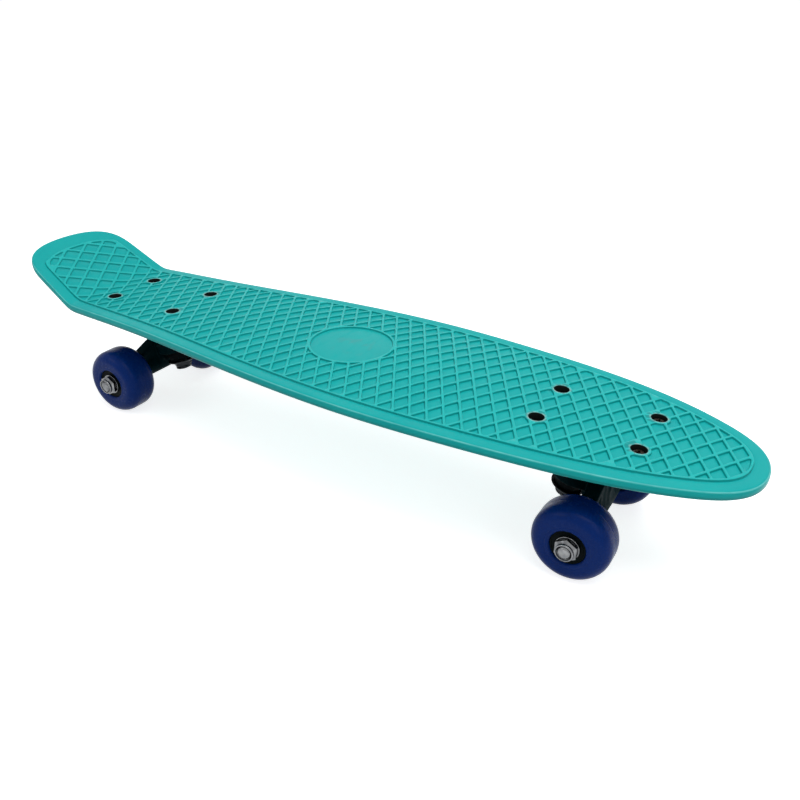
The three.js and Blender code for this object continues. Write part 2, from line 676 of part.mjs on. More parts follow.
// One truck with its kingpin stack, hanger, axle and wheels.
function addTruck(board, { name, facing, x }) {
  const truck = new THREE.Group();
  truck.position.x = x;
  truck.rotation.z = facing > 0 ? 0 : Math.PI;
  board.add(truck);
  add(truck, `${name}_baseplate`, makeBaseplate(), truckPlastic);
  add(truck, `${name}_hanger`, makeHanger(), truckPlastic);

  const pinGroup = axisGroup(truck, yokeCentre, kingpinAxis);
  const hole = kingpinDiameter / 2 + fitGap;
  const [upper, lower] = [upperBushingDiameter / 2, lowerBushingDiameter / 2];
  const upperStart = yokeTop + seatGap;
  add(pinGroup, `${name}_kingpin`, makeKingpin(), brightZinc);
  add(pinGroup, `${name}_upper_bushing`, ring(hole, upper, upperStart, upperBushingTop, 20), bushingUrethane);
  const upperCup = cupWasher(upper, upperBushingTop + seatGap, upperWasherTop, false);
  add(pinGroup, `${name}_upper_cup_washer`, upperCup, darkSteel);
  const cone = revolved([
    [hole, lowerBushingEnd], [lowerBushingTip / 2, lowerBushingEnd], [lower, -upperStart],
    [hole, -upperStart], [hole, lowerBushingEnd],
  ], 20);
  add(pinGroup, `${name}_lower_bushing`, cone, bushingUrethane);
  const lowerCup = cupWasher(lower, lowerWasherEnd, lowerBushingEnd - seatGap, true);
  add(pinGroup, `${name}_lower_cup_washer`, lowerCup, darkSteel);
  const pinNut = makeNut(kingpinNutAcross, kingpinNutHeight, hole, kingpinNutTop);
  add(pinGroup, `${name}_kingpin_nut`, pinNut, darkSteel);

  const pivotGroup = axisGroup(truck, yokeCentre, pivotAxis);
  const cup = revolved([
    [cupInside, cupMouth], [cupOutside, cupMouth], [cupOutside, cupEnd], [0, cupEnd],
    [0, cupInnerEnd], [cupInside, cupInnerEnd], [cupInside, cupMouth],
  ], 16);
  add(pivotGroup, `${name}_pivot_cup`, cup, linerPlastic);

  const axleGroup = new THREE.Group();
  axleGroup.position.set(axleOffset, 0, axleHeight);
  truck.add(axleGroup);
  const nutStart = raceOuter + 2 * fitGap + axleWasherThickness;
  const end = nutStart + axleNutHeight + axleProud;
  const [axle, tip, axleHole] = [axleDiameter / 2, axleTipDiameter / 2, axleDiameter / 2 + fitGap];
  const rod = revolved([
    [0, -end], [tip, -end], [axle, axleTip - end], [axle, end - axleTip], [tip, end], [0, end],
  ], 16);
  add(axleGroup, `${name}_axle`, rod, brightZinc);
  for (const side of [1, -1]) {
    const label = `${name}_${side * facing > 0 ? 'left' : 'right'}`;
    const station = new THREE.Group();
    station.rotation.z = side > 0 ? 0 : Math.PI;
    axleGroup.add(station);
    const halfStep = Math.PI / wheelSides;
    const wheel = revolved(wheelSection(), wheelSides, halfStep);
    wheel.scale(1 / Math.cos(halfStep), 1, 1 / Math.cos(halfStep));
    const turned = add(station, `${label}_wheel`, wheel, wheelUrethane);
    turned.position.y = wheelInner + wheelWidth / 2;
    const race = bearingDiameter / 2;
    for (const [place, from] of [['inner', raceInner], ['outer', raceOuter - bearingWidth]]) {
      const bearing = ring(axleHole, race, from, from + bearingWidth, 16);
      add(station, `${label}_${place}_bearing`, bearing, bearingBlack);
    }
    const washer = ring(axleHole, axleWasherDiameter / 2, raceOuter + fitGap, nutStart - fitGap, 16);
    add(station, `${label}_axle_washer`, washer, brightZinc);
    add(station, `${label}_axle_nut`, makeLockNut(axleHole, nutStart), brightZinc);
  }
}

// The whole board.
const board = new THREE.Group();
add(board, 'deck', makeDeck(), deckPlastic);
for (const truck of trucks) addTruck(board, truck);
for (const { name, x, y } of boltPlaces) {
  const screw = axisGroup(board, new THREE.Vector3(x, y, 0), upward);
  add(screw, `${name}_bolt`, makeDeckBolt(), brightZinc);
  const [hole, top] = [boltDiameter / 2 + fitGap, baseUnderside - fitGap];
  add(screw, `${name}_nut`, makeNut(deckNutAcross, deckNutHeight, hole, top), brightZinc);
}

export default board;
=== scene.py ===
# %% [markdown]
# # A cruiser skateboard
#
# The board is a short moulded deck, two steering trucks and four cast wheels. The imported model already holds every
# piece at its real size, so this script only dresses it: each part is drawn again with its fillets, threads and
# relief, is given its finish, and rides on the body that carries it. Sizes are in millimetres until the last moment,
# when a mesh is made, because a maker thinks of a skateboard in millimetres and Blender thinks in metres. The places of
# the trucks and of their bolts come first, because the finishes need them as well as the shapes.

import bmesh
import bpy
import numpy as np
from mathutils import Matrix, Vector
from mathutils.geometry import delaunay_2d_cdt


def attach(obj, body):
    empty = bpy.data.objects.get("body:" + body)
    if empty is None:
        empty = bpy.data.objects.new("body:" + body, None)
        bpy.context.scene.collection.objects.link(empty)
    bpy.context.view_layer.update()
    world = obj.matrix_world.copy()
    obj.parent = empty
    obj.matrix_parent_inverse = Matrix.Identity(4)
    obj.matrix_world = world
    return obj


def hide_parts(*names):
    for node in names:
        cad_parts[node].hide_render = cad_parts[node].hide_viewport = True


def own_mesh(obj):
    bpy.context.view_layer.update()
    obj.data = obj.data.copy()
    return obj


MM = 0.001
ENDS = {"front": 1, "rear": -1}
TRUCK_X = {"front": 182.2, "rear": -171.8}
MIDDLE_X = (TRUCK_X["front"] + TRUCK_X["rear"]) / 2
HALF_SPAN = (TRUCK_X["front"] - TRUCK_X["rear"]) / 2
BOLT_ALONG = 61.6
BOLT_ACROSS = 41.2
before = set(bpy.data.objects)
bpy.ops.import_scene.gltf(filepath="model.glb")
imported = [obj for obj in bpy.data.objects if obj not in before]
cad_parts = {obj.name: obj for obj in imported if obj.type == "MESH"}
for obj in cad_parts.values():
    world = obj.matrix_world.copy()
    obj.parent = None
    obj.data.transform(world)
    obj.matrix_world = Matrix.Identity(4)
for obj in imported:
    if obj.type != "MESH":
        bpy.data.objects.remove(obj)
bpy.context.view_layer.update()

# %% [markdown]
# ## The camera
#
# The photograph looks down on the nose from the right. Its camera was found by matching the bolt holes and the wheel
# faces, so the script states it as a place, three angles and a lens. The columns of the turn are the camera's right,
# its up and its back.

# %% Camera
CAMERA_PLACE = (0.29216, -0.41995, 0.31874)
CAMERA_AZIMUTH = np.radians(30.382)
CAMERA_ELEVATION = np.radians(28.709)
CAMERA_ROLL = np.radians(1.168)
SENSOR_WIDTH = 36.0
FOCAL_SHARE = 811.52 / 800


def camera_turn(azimuth, elevation, roll):
    """Back points away from the subject; right = up of the world x back; the roll turns right and up about back."""
    back = np.array([np.sin(azimuth) * np.cos(elevation), -np.cos(azimuth) * np.cos(elevation), np.sin(elevation)])
    right = np.cross([0, 0, 1], back)
    right /= np.linalg.norm(right)
    up = np.cross(back, right)
    rolled = np.cos(roll) * right + np.sin(roll) * up
    return np.column_stack([rolled, np.cross(back, rolled), back])


lens = bpy.data.cameras.new("photo_camera")
lens.sensor_width = SENSOR_WIDTH
lens.lens = FOCAL_SHARE * SENSOR_WIDTH
lens.clip_start = 0.01
camera = bpy.data.objects.new("photo_camera", lens)
turn = Matrix(camera_turn(CAMERA_AZIMUTH, CAMERA_ELEVATION, CAMERA_ROLL).tolist())
camera.matrix_world = Matrix.Translation(CAMERA_PLACE) @ turn.to_4x4()
bpy.context.scene.collection.objects.link(camera)
bpy.context.scene.camera = camera
print("lens:", round(lens.lens, 2), "mm")

# %% [markdown]
# ## Making a mesh from arrays
#
# Every piece below ends as a list of points and a list of faces. One helper turns them into an object: it merges the
# doubled points of seams and poles, turns the faces outward, rounds the shading where the surface is soft and keeps a
# crease where it isn't, parents the piece to an empty for the body it rides on and hides the imported node it stands
# for. A piece wears the finish that is named like its slot, unless it is given another look.

# %% Mesh helper
CREASE = np.radians(38)
MERGED_WITHIN = 0.004 * MM
VANISHED_WITHIN = 0.001 * MM
FINISHES = {}


def piece(name, shells, body, slot, stands_for, look=None, layer=None):
    """One object from [(points in mm, faces), ...]; layer is a number for each point, kept as the attribute relief."""
    counts = np.cumsum([0] + [len(points) for points, _ in shells])
    points = np.concatenate([points for points, _ in shells]) * MM
    faces = [[int(v) + int(base) for v in face] for (_, some), base in zip(shells, counts) for face in some]
    mesh = bpy.data.meshes.new(name)
    mesh.from_pydata(points.tolist(), [], faces)
    if layer is not None:
        mesh.attributes.new("relief", "FLOAT", "POINT").data.foreach_set("value", np.concatenate(layer))
    made = bmesh.new()
    made.from_mesh(mesh)
    bmesh.ops.remove_doubles(made, verts=made.verts, dist=MERGED_WITHIN)
    bmesh.ops.dissolve_degenerate(made, edges=made.edges, dist=VANISHED_WITHIN)
    bmesh.ops.recalc_face_normals(made, faces=made.faces)
    for edge in made.edges:
        edge.smooth = len(edge.link_faces) == 2 and edge.calc_face_angle(0) < CREASE
    for face in made.faces:
        face.smooth = True
    made.to_mesh(mesh)
    made.free()
    mesh.materials.append(FINISHES[look or slot])
    thing = bpy.data.objects.new(name, mesh)
    bpy.context.scene.collection.objects.link(thing)
    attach(thing, body)
    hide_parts(stands_for)
    return thing


def net(grid, close_rows=False):
    """Faces of a grid of points, row by row and round each row; closed rows join the last one to the first."""
    rows, columns = grid.shape[:2]
    number = np.arange(rows * columns).reshape(rows, columns)
    if close_rows:
        number = np.vstack([number, number[:1]])
    number = np.hstack([number, number[:, :1]])
    faces = np.stack([number[:-1, :-1], number[:-1, 1:], number[1:, 1:], number[1:, :-1]], -1)
    return grid.reshape(-1, 3), faces.reshape(-1, 4)


# %% [markdown]
# ## Plastic, urethane and steel
#
# Each finish is a Principled shader with a little life in it: a slow drift in colour, a fine grain in the bump, and a
# roughness that varies as handling leaves it. Values that are the same all over go straight onto the sockets. The
# patterns read Object coordinates in metres, so a noise scale of 900 has features about a millimetre across.

# %% Shader helpers


def finish(name, colour, roughness, metallic=0.0, specular=0.5):
    """A new material, kept under its name; returns its node tree and its shader."""
    material = bpy.data.materials.new(name)
    material.use_nodes = True
    shader = material.node_tree.nodes["Principled BSDF"]
    settings = {"Base Color": (*colour, 1), "Roughness": roughness, "Metallic": metallic,
                "Specular IOR Level": specular}
    for socket, value in settings.items():
        shader.inputs[socket].default_value = value
    FINISHES[name] = material
    return material.node_tree, shader


def node(tree, kind, plugs, **options):
    """A node with its options set, and its sockets filled by values or by other nodes' outputs."""
    made = tree.nodes.new("ShaderNode" + kind)
    for option, value in options.items():
        setattr(made, option, value)
    for socket, value in plugs.items():
        if isinstance(value, bpy.types.NodeSocket):
            tree.links.new(value, made.inputs[socket])
        else:
            made.inputs[socket].default_value = value
    return made


def place(tree):
    """The object's own coordinates, in metres."""
    return node(tree, "TexCoord", {}).outputs["Object"]


def coordinates(tree):
    """The same, as x, y and z."""
    return node(tree, "SeparateXYZ", {0: place(tree)}).outputs


def noise(tree, scale, detail=3.0, stretch=(1, 1, 1)):
    """A noise over the object's own coordinates, stretched along its axes."""
    mapped = node(tree, "Mapping", {"Vector": place(tree), "Scale": stretch}).outputs["Vector"]
    return node(tree, "TexNoise", {"Vector": mapped, "Scale": scale, "Detail": detail}).outputs["Fac"]


def remap(tree, value, low, high, to_low=0, to_high=1):
    """Carries a range of values onto another, held at its ends."""
    return node(tree, "MapRange", {"Value": value, "From Min": low, "From Max": high, "To Min": to_low,
                                   "To Max": to_high}).outputs["Result"]


def worked(tree, operation, *values):
    """One sum on numbers or other nodes' outputs."""
    return node(tree, "Math", dict(enumerate(values)), operation=operation).outputs[0]


def span(tree, x, y):
    """Distance from nought in two directions."""
    squares = [worked(tree, "MULTIPLY", value, value) for value in (x, y)]
    return worked(tree, "SQRT", worked(tree, "ADD", *squares))


def mixed(tree, factor, first, second):
    """Mixes two colours by a value; a colour is a tuple or another node's output."""
    first, second = [(*colour, 1) if isinstance(colour, tuple) else colour for colour in (first, second)]
    return node(tree, "Mix", {"Factor": factor, 6: first, 7: second}, data_type="RGBA").outputs[2]


def bumped(tree, shader, heights):
    """Adds bumps one over another: [(height, distance in metres, strength), ...]."""
    normal = None
    for height, distance, strength in heights:
        plugs = {"Height": height, "Distance": distance, "Strength": strength}
        if normal is not None:
            plugs["Normal"] = normal
        normal = node(tree, "Bump", plugs).outputs["Normal"]
    tree.links.new(normal, shader.inputs["Normal"])


# %% [markdown]
# The deck is injection moulded in one colour. The colour drifts a little over the floors, and the tops of the ribs are
# a touch lighter, partly from polish and partly as painted light that stands in for the shade on the floors. The mesh
# carries the difference as the attribute relief: nought on floors, one on ribs, and between them on the walls, which
# are painted darker as shade. On the rim the attribute is set from its profile: about one half on the lower side, for
# painted shade, and less than nought on the rim's corner, for a painted highlight.
# Folding the coordinates about the trucks' middles gives the distance to the nearest bolt, so that one ring of wear
# and one spot of near-black painted shade inside the holes serve all eight holes. The bare oval has a few grey scuffs.

# %% Deck plastic
DECK_FLOOR = (0.008, 0.415, 0.405)
# Rib tops: partly polish, partly painted light against the shaded floors.
DECK_RIB_POLISHED_AND_LIT = (0.016, 0.470, 0.455)
DECK_DRIFT = (0.005, 0.385, 0.385)
DECK_WEAR = (0.300, 0.520, 0.490)
# Painted shade for the pocket walls and for the lower side of the rim.
DECK_PAINTED_WALL_SHADE = (0.002, 0.255, 0.250)
# Painted highlight for the rounded corner of the rim.
DECK_PAINTED_HIGHLIGHT = (0.170, 0.680, 0.650)
# Near-black painted shade for the inside of the bolt holes.
DECK_PAINTED_HOLE_SHADE = (0.010, 0.014, 0.013)
DECK_SCUFF = (0.10, 0.24, 0.24)
SCUFFS_X = 8.0 * MM


def bolt_distance(tree):
    """Distance in metres from the nearest of the eight bolts, by folding both coordinates."""
    x, y, _ = coordinates(tree)
    for middle in (MIDDLE_X, HALF_SPAN, BOLT_ALONG / 2):
        x = worked(tree, "ABSOLUTE", worked(tree, "SUBTRACT", x, middle * MM))
    return span(tree, x, worked(tree, "SUBTRACT", worked(tree, "ABSOLUTE", y), BOLT_ACROSS / 2 * MM))


def scuffs_in_oval(tree):
    """Broken grey smudges near the middle of the bare oval."""
    x, y, _ = coordinates(tree)
    x = worked(tree, "MULTIPLY", worked(tree, "SUBTRACT", x, SCUFFS_X), 0.6)
    near = remap(tree, span(tree, x, y), 0.006, 0.017, 1, 0)
    return worked(tree, "MULTIPLY", near, remap(tree, noise(tree, 130, 5, (1, 0.5, 1)), 0.52, 0.66, 0, 0.3))


def deck_plastic():
    """Layers of colour from the floors up, each where its own mask says, then roughness and bumps."""
    tree, shader = finish("deck_plastic", DECK_FLOOR, 0.34, specular=0.08)
    height = node(tree, "Attribute", {}, attribute_name="relief").outputs["Fac"]
    # Painted shade: the walls, and the rim rows coded like walls, are darkened.
    wall_shade = worked(tree, "MULTIPLY", remap(tree, height, 0.02, 0.12), remap(tree, height, 0.72, 0.90, 1, 0))
    # A painted highlight along the rim's corner, broken up by noise.
    painted_highlight = worked(tree, "MULTIPLY", remap(tree, height, -0.2, -1),
                    remap(tree, noise(tree, 60, 3), 0.35, 0.65, 0.5, 1))
    from_bolt = bolt_distance(tree)
    worn = worked(tree, "MULTIPLY", remap(tree, from_bolt, 0.0052, 0.0064, 1, 0),
                  remap(tree, noise(tree, 420, 3), 0.40, 0.60, 0.15, 0.85))
    colour = DECK_FLOOR
    for mask, layer in (
        # Rib tops are lighter, partly from polish and partly as painted light.
        (remap(tree, noise(tree, 22, 4), 0.35, 0.7), DECK_DRIFT), (remap(tree, height, 0.2, 1), DECK_RIB_POLISHED_AND_LIT),
        (worked(tree, "MULTIPLY", wall_shade, 0.8), DECK_PAINTED_WALL_SHADE), (painted_highlight, DECK_PAINTED_HIGHLIGHT), (scuffs_in_oval(tree), DECK_SCUFF),
        # The last mask paints near-black shade inside every bolt hole.
        (worn, DECK_WEAR), (remap(tree, from_bolt, 0.00485, 0.00510, 1, 0), DECK_PAINTED_HOLE_SHADE),
    ):
        colour = mixed(tree, mask, colour, layer)
    tree.links.new(colour, shader.inputs["Base Color"])
    scuffs = remap(tree, noise(tree, 260, 5, (1, 0.25, 1)), 0.45, 0.75, 0.30, 0.46)
    tree.links.new(scuffs, shader.inputs["Roughness"])
    bumped(tree, shader, [(noise(tree, 1500, 2), 0.00004, 0.35), (noise(tree, 70, 2), 0.0006, 0.12)])


deck_plastic()

# %% [markdown]
# The wheels are cast urethane: deep blue, glossy, with a slight bloom of dust. The trucks and bushings are darker and
# duller, with the fine leather grain that moulds are etched with; the teal tint in the trucks' black is painted light,
# bounced from the deck. The fasteners are zinc plated, so they are bright, slightly blue, and brushed by the thread
# roller and the spanner. The deck bolts are duller, and their heads, deep in the holes, are dark brown above a height.

# %% Wheel, truck and liner finishes
WHEEL_BLUE = (0.0020, 0.0235, 0.1560)
WHEEL_DUSTY = (0.0035, 0.0260, 0.1680)
# The teal tint in the trucks' black is painted light bounced from the deck; the plastic itself is black.
TRUCK_BLACK_WITH_PAINTED_BOUNCE = (0.0006, 0.0120, 0.0150)
TRUCK_GREY_WITH_PAINTED_BOUNCE = (0.0012, 0.0150, 0.0180)
# The deck bolts are dark brown above this height, which covers their heads deep in the holes.
HEAD_DARK_BROWN = (0.022, 0.016, 0.012)
HEAD_PALE_BROWN = (0.060, 0.048, 0.038)
HEAD_BROWN_START = 74.0 * MM


def wheel_urethane():
    """Blue, with a bloom of dust."""
    tree, shader = finish("wheel_urethane", WHEEL_BLUE, 0.28, specular=0.06)
    dust = remap(tree, noise(tree, 45, 5), 0.45, 0.72)
    tree.links.new(mixed(tree, dust, WHEEL_BLUE, WHEEL_DUSTY), shader.inputs["Base Color"])
    tree.links.new(remap(tree, noise(tree, 320, 4), 0.4, 0.7, 0.20, 0.34), shader.inputs["Roughness"])
    bumped(tree, shader, [(noise(tree, 1100, 2), 0.00002, 0.2)])


def grained(name, dark, light, roughness, grain_scale):
    """A dull moulded plastic or rubber with an etched grain."""
    tree, shader = finish(name, dark, roughness, specular=0.02)
    drift = remap(tree, noise(tree, 60, 4), 0.4, 0.7)
    tree.links.new(mixed(tree, drift, dark, light), shader.inputs["Base Color"])
    rub = remap(tree, noise(tree, 500, 3), 0.4, 0.7, roughness - 0.06, roughness + 0.1)
    tree.links.new(rub, shader.inputs["Roughness"])
    bumped(tree, shader, [(noise(tree, grain_scale, 2), 0.00005, 0.3)])


def plated(name, bright, tint, roughness, stretch, brown_above=None):
    """A plated or blackened steel, brushed along one way, and dark brown above a height if one is given."""
    tree, shader = finish(name, bright, roughness, metallic=1.0)
    colour = mixed(tree, remap(tree, noise(tree, 180, 4), 0.35, 0.75), bright, tint)
    if brown_above is not None:
        brown_share = remap(tree, coordinates(tree)[2], brown_above, brown_above + MM)
        spots = mixed(tree, remap(tree, noise(tree, 700, 4), 0.42, 0.62), HEAD_DARK_BROWN, HEAD_PALE_BROWN)
        colour = mixed(tree, brown_share, colour, spots)
    tree.links.new(colour, shader.inputs["Base Color"])
    lines = noise(tree, 900, 3, stretch)
    tree.links.new(remap(tree, lines, 0.35, 0.7, roughness, roughness + 0.16), shader.inputs["Roughness"])
    bumped(tree, shader, [(lines, 0.00003, 0.4)])


wheel_urethane()
for grained_finish in (
    # The trucks' colours carry painted bounce light from the deck as a teal tint.
    ("truck_plastic", TRUCK_BLACK_WITH_PAINTED_BOUNCE, TRUCK_GREY_WITH_PAINTED_BOUNCE, 0.55, 1400),
    ("bushing_urethane", (0.004, 0.006, 0.007), (0.008, 0.010, 0.011), 0.5, 900),
    ("liner_plastic", (0.010, 0.013, 0.013), (0.018, 0.021, 0.021), 0.46, 1200),
    ("bearing_black", (0.0030, 0.0055, 0.0060), (0.0060, 0.0090, 0.0095), 0.32, 1600),
):
    grained(*grained_finish)
for plated_finish in (
    ("bright_zinc", (0.23, 0.235, 0.24), (0.09, 0.095, 0.105), 0.14, (1, 0.15, 1)),
    ("bolt_zinc", (0.34, 0.35, 0.36), (0.20, 0.21, 0.23), 0.30, (1, 1, 0.2), HEAD_BROWN_START),
    ("dark_steel", (0.026, 0.028, 0.030), (0.014, 0.016, 0.018), 0.30, (1, 1, 0.2)),
):
    plated(*plated_finish)
print("finishes:", sorted(FINISHES))

# %% [markdown]
# ## The deck's outline and its top
#
# Seen from above the deck is one smooth spline, mirrored about its middle. Its control points are shares of the
# length and of the half width. From the side it has a slight crown, a nose that droops, and a tail that folds up. Any
# relief is a height over that curve, so the whole deck is drawn flat and lifted onto it in the last step.

# %% Outline
DECK_LENGTH = 560.0
DECK_WIDTH = 147.0
PLATE_HEIGHT = 80.4
PAD_HEIGHT = 71.8
OUTLINE_SHARES = np.array([
    [0, 0], [0, 0.325], [0.06, 0.621], [0.16, 0.842], [0.28, 0.951], [0.42, 1.023], [0.56, 0.95],
    [0.68, 0.831], [0.77, 0.745], [0.885, 0.694], [0.943, 0.643], [1, 0.605], [1, 0],
])
TAIL_BLEND = 12.0
RIM_TAIL_START = -264.0
POCKET_TAIL_START = -251.0
TABLE_REACH = 281.0
TABLE_WIDTH = 75.0
TABLE_BATCH = 60


def spline(controls, t, degree=3):
    """Weights of a clamped B-spline by the Cox-de Boor recursion: each degree mixes two neighbours of the last."""
    spans = len(controls) - degree
    knots = np.concatenate([np.zeros(degree), np.linspace(0, 1, spans + 1), np.ones(degree)])[:, None]
    t = np.clip(t, 0, 1 - 1e-9)
    weights = ((knots[:-1] <= t) & (t < knots[1:])).astype(float)
    for d in range(1, degree + 1):
        rise = np.maximum(knots[d:-1] - knots[:-d - 1], 1e-12)
        fall = np.maximum(knots[d + 1:] - knots[1:-d], 1e-12)
        weights = (t - knots[:-d - 1]) / rise * weights[:-1] + (knots[d + 1:] - t) / fall * weights[1:]
    return (weights.T @ controls).T


def edge_points(count):
    """Left edge from nose to tail at even steps of its length: x, y, and the way inward."""
    along, half = spline(OUTLINE_SHARES, np.linspace(0, 1, 4001))
    x = DECK_LENGTH * (0.5 - along)
    y = half * DECK_WIDTH / 2
    length = np.concatenate([[0], np.cumsum(np.hypot(np.diff(x), np.diff(y)))])
    even = np.linspace(0, length[-1], count)
    x, y = np.interp(even, length, x), np.interp(even, length, y)
    way = np.stack([np.gradient(x), np.gradient(y)])
    way /= np.hypot(*way)
    way[:, 0] = (0, 1)
    way[:, -1] = (0, -1)
    return x, y, -way[1], way[0]


EDGE = edge_points(241)
FINE_EDGE = edge_points(901)


def tail_share(x, start):
    """A share that rises smoothly from nought at a start to one nearer the tail."""
    share = np.clip((start - x) / TAIL_BLEND, 0, 1)
    return share * share * (3 - 2 * share)


def outline(inset, tail_inset=0.0):
    """The outline moved inward by an inset, more at the tail: nose, left edge, tail, right edge, as x and y."""
    x, y, inward_x, inward_y = EDGE
    inset = inset + tail_inset * tail_share(x, RIM_TAIL_START)
    left = np.stack([x + inset * inward_x, y + inset * inward_y], -1)
    right = left[-2:0:-1] * (1, -1)
    return np.concatenate([left, right])


def distance_table():
    """Signed distance to the edge at every millimetre: the least over the edge's short straight pieces."""
    x, y = np.meshgrid(np.arange(-TABLE_REACH, TABLE_REACH + 1), np.arange(TABLE_WIDTH + 1), indexing="ij")
    ax, ay = FINE_EDGE[0][:-1], FINE_EDGE[1][:-1]
    bx, by = np.diff(FINE_EDGE[0]), np.diff(FINE_EDGE[1])
    found = np.full(x.shape, np.inf)
    for start in range(0, len(ax), TABLE_BATCH):
        part = slice(start, start + TABLE_BATCH)
        qx, qy = x[..., None] - ax[part], y[..., None] - ay[part]
        share = np.clip((qx * bx[part] + qy * by[part]) / (bx[part] ** 2 + by[part] ** 2), 0, 1)
        found = np.minimum(found, np.hypot(qx - share * bx[part], qy - share * by[part]).min(-1))
    half = np.interp(-x, -FINE_EDGE[0], FINE_EDGE[1])
    return np.where((y < half) & (np.abs(x) < DECK_LENGTH / 2), found, -found)


DISTANCES = distance_table()


def edge_distance(x, y):
    """Looks the distance up in the table, and blends the four entries round the point."""
    across = np.clip(np.abs(y), 0, TABLE_WIDTH - 0.01)
    along = np.clip(x + TABLE_REACH, 0, 2 * TABLE_REACH - 0.01)
    column, row = np.floor(across).astype(int), np.floor(along).astype(int)
    u, v = across - column, along - row
    low = DISTANCES[row, column] * (1 - u) + DISTANCES[row, column + 1] * u
    high = DISTANCES[row + 1, column] * (1 - u) + DISTANCES[row + 1, column + 1] * u
    return low * (1 - v) + high * v


# %% Height of the deck's top
CROWN_RISE = 1.6
DOME_RISE = 2.2
DOME_LENGTH = 320.0
DOME_WIDTH = 114.0
DOME_FOOT = 0.04
NOSE_DROP = 2.2
NOSE_DROP_LENGTH = 130.0
FOLD_X = 58.8 - DECK_LENGTH / 2
KICK_ANGLE = np.radians(28.8)
KICK_SOFTNESS = 2.0


def dome(x, y):
    """The middle stands a little over the border, and runs out softly at its foot."""
    across = DOME_FOOT * np.logaddexp(0, (1 - (2 * y / DOME_WIDTH) ** 2) / DOME_FOOT)
    return DOME_RISE * np.maximum(0, 1 - (2 * x / DOME_LENGTH) ** 4) ** 2 * across


def deck_top(x, y):
    """Crown, less the droop of the nose, plus the dome and the tail: a slope that starts softly at the fold."""
    crown = CROWN_RISE * (1 - (x / HALF_SPAN) ** 2)
    drop = NOSE_DROP * np.maximum(0, (x - DECK_LENGTH / 2 + NOSE_DROP_LENGTH) / NOSE_DROP_LENGTH) ** 2
    kick = KICK_SOFTNESS * np.log1p(np.exp((FOLD_X - x) / KICK_SOFTNESS))
    return PLATE_HEIGHT + crown - drop + dome(x, y) + np.tan(KICK_ANGLE) * kick


def lifted(points):
    """Lays flat points, whose z is the height over the plate's top, onto the deck's curve."""
    x, y, z = np.moveaxis(points, -1, 0)
    return np.stack([x, y, z + deck_top(x, y)], -1)


# %% [markdown]
# ## Waffle pockets
#
# The top is a lattice of ribs with diamond pockets between them. A pocket is best seen as a distance field: how far a
# point is from the nearest wall. Level lines of that field, joined up, give a wall with a fillet at its top and foot.
# From the deepest point of each pocket a fan of rays is sent out, and halving finds where each ray meets each level.
# All pockets and rays are solved at once. Where the border, the bare oval or a bolt's collar cuts a pocket, that shape
# simply joins the field, so the part pockets come out by themselves.

# %% Lattice sizes
RIB_HEIGHT = 1.0
RIB_WIDTH = 1.4
LATTICE_PITCH = 10.05
LATTICE_LEAN = np.radians(30)
OVAL_PLACE = 6.6
OVAL_RADIUS = 28.5
BORDER_WIDTH = 9.6
TAIL_BORDER = 2.8
COLLAR_RADIUS = 6.6
WALL_LEVELS = np.array([-0.12, 0.0, 0.12, 0.30, 0.45])
FLOOR_HEIGHT = -0.3
WALL_HEIGHTS = np.array([RIB_HEIGHT, RIB_HEIGHT - 0.08, RIB_HEIGHT - 0.3, FLOOR_HEIGHT + 0.15, FLOOR_HEIGHT])
BOLTS = [
    (end, place, side, TRUCK_X[end] + facing * out * BOLT_ALONG / 2, across * BOLT_ACROSS / 2)
    for end, facing in ENDS.items()
    for place, out in (("outer", 1), ("inner", -1))
    for side, across in (("left", 1), ("right", -1))
]


def joined(softness, *fields):
    """Soft minimum of distances: shapes run into each other with a fillet."""
    return -softness * np.logaddexp.reduce([-field / softness for field in fields])


def circle(x, y, radius, rays):
    """A round loop of points."""
    angle = 2 * np.pi * np.arange(rays) / rays
    return np.stack([x + radius * np.cos(angle), y + radius * np.sin(angle)], -1)


def lattice_field(x, y, centre_x, centre_y):
    """Distance to the walls of the pocket at a centre, to the border, the oval and the collars."""
    half = (LATTICE_PITCH - RIB_WIDTH) / 2
    along, across = np.cos(LATTICE_LEAN), np.sin(LATTICE_LEAN)
    one = (x - centre_x) * along + (y - centre_y) * across
    two = (x - centre_x) * along - (y - centre_y) * across
    walls = [half - one, half + one, half - two, half + two]
    border = BORDER_WIDTH + TAIL_BORDER * tail_share(x, POCKET_TAIL_START)
    walls.append(edge_distance(x, y) - border - RIB_WIDTH)
    walls.append(np.hypot(x - OVAL_PLACE, y) - OVAL_RADIUS - RIB_WIDTH)
    for _, _, _, bolt_x, bolt_y in BOLTS:
        walls.append(np.hypot(x - bolt_x, y - bolt_y) - COLLAR_RADIUS)
    return joined(0.16, *walls)


def level_loops(field, centre_x, centre_y, levels, reach, rays):
    """Loops of a star-shaped pocket: on each ray, halving closes in on the radius where the field meets a level."""
    way_x, way_y = circle(0, 0, 1, rays).T
    centre_x, centre_y = centre_x[:, None, None], centre_y[:, None, None]
    low = np.zeros((centre_x.size, len(levels), rays))
    high = np.full_like(low, reach)
    for _ in range(13):
        middle = (low + high) / 2
        inside = field(centre_x + middle * way_x, centre_y + middle * way_y) > levels[:, None]
        low, high = np.where(inside, middle, low), np.where(inside, high, middle)
    radius = (low + high) / 2
    return np.stack([centre_x + radius * way_x, centre_y + radius * way_y], -1)


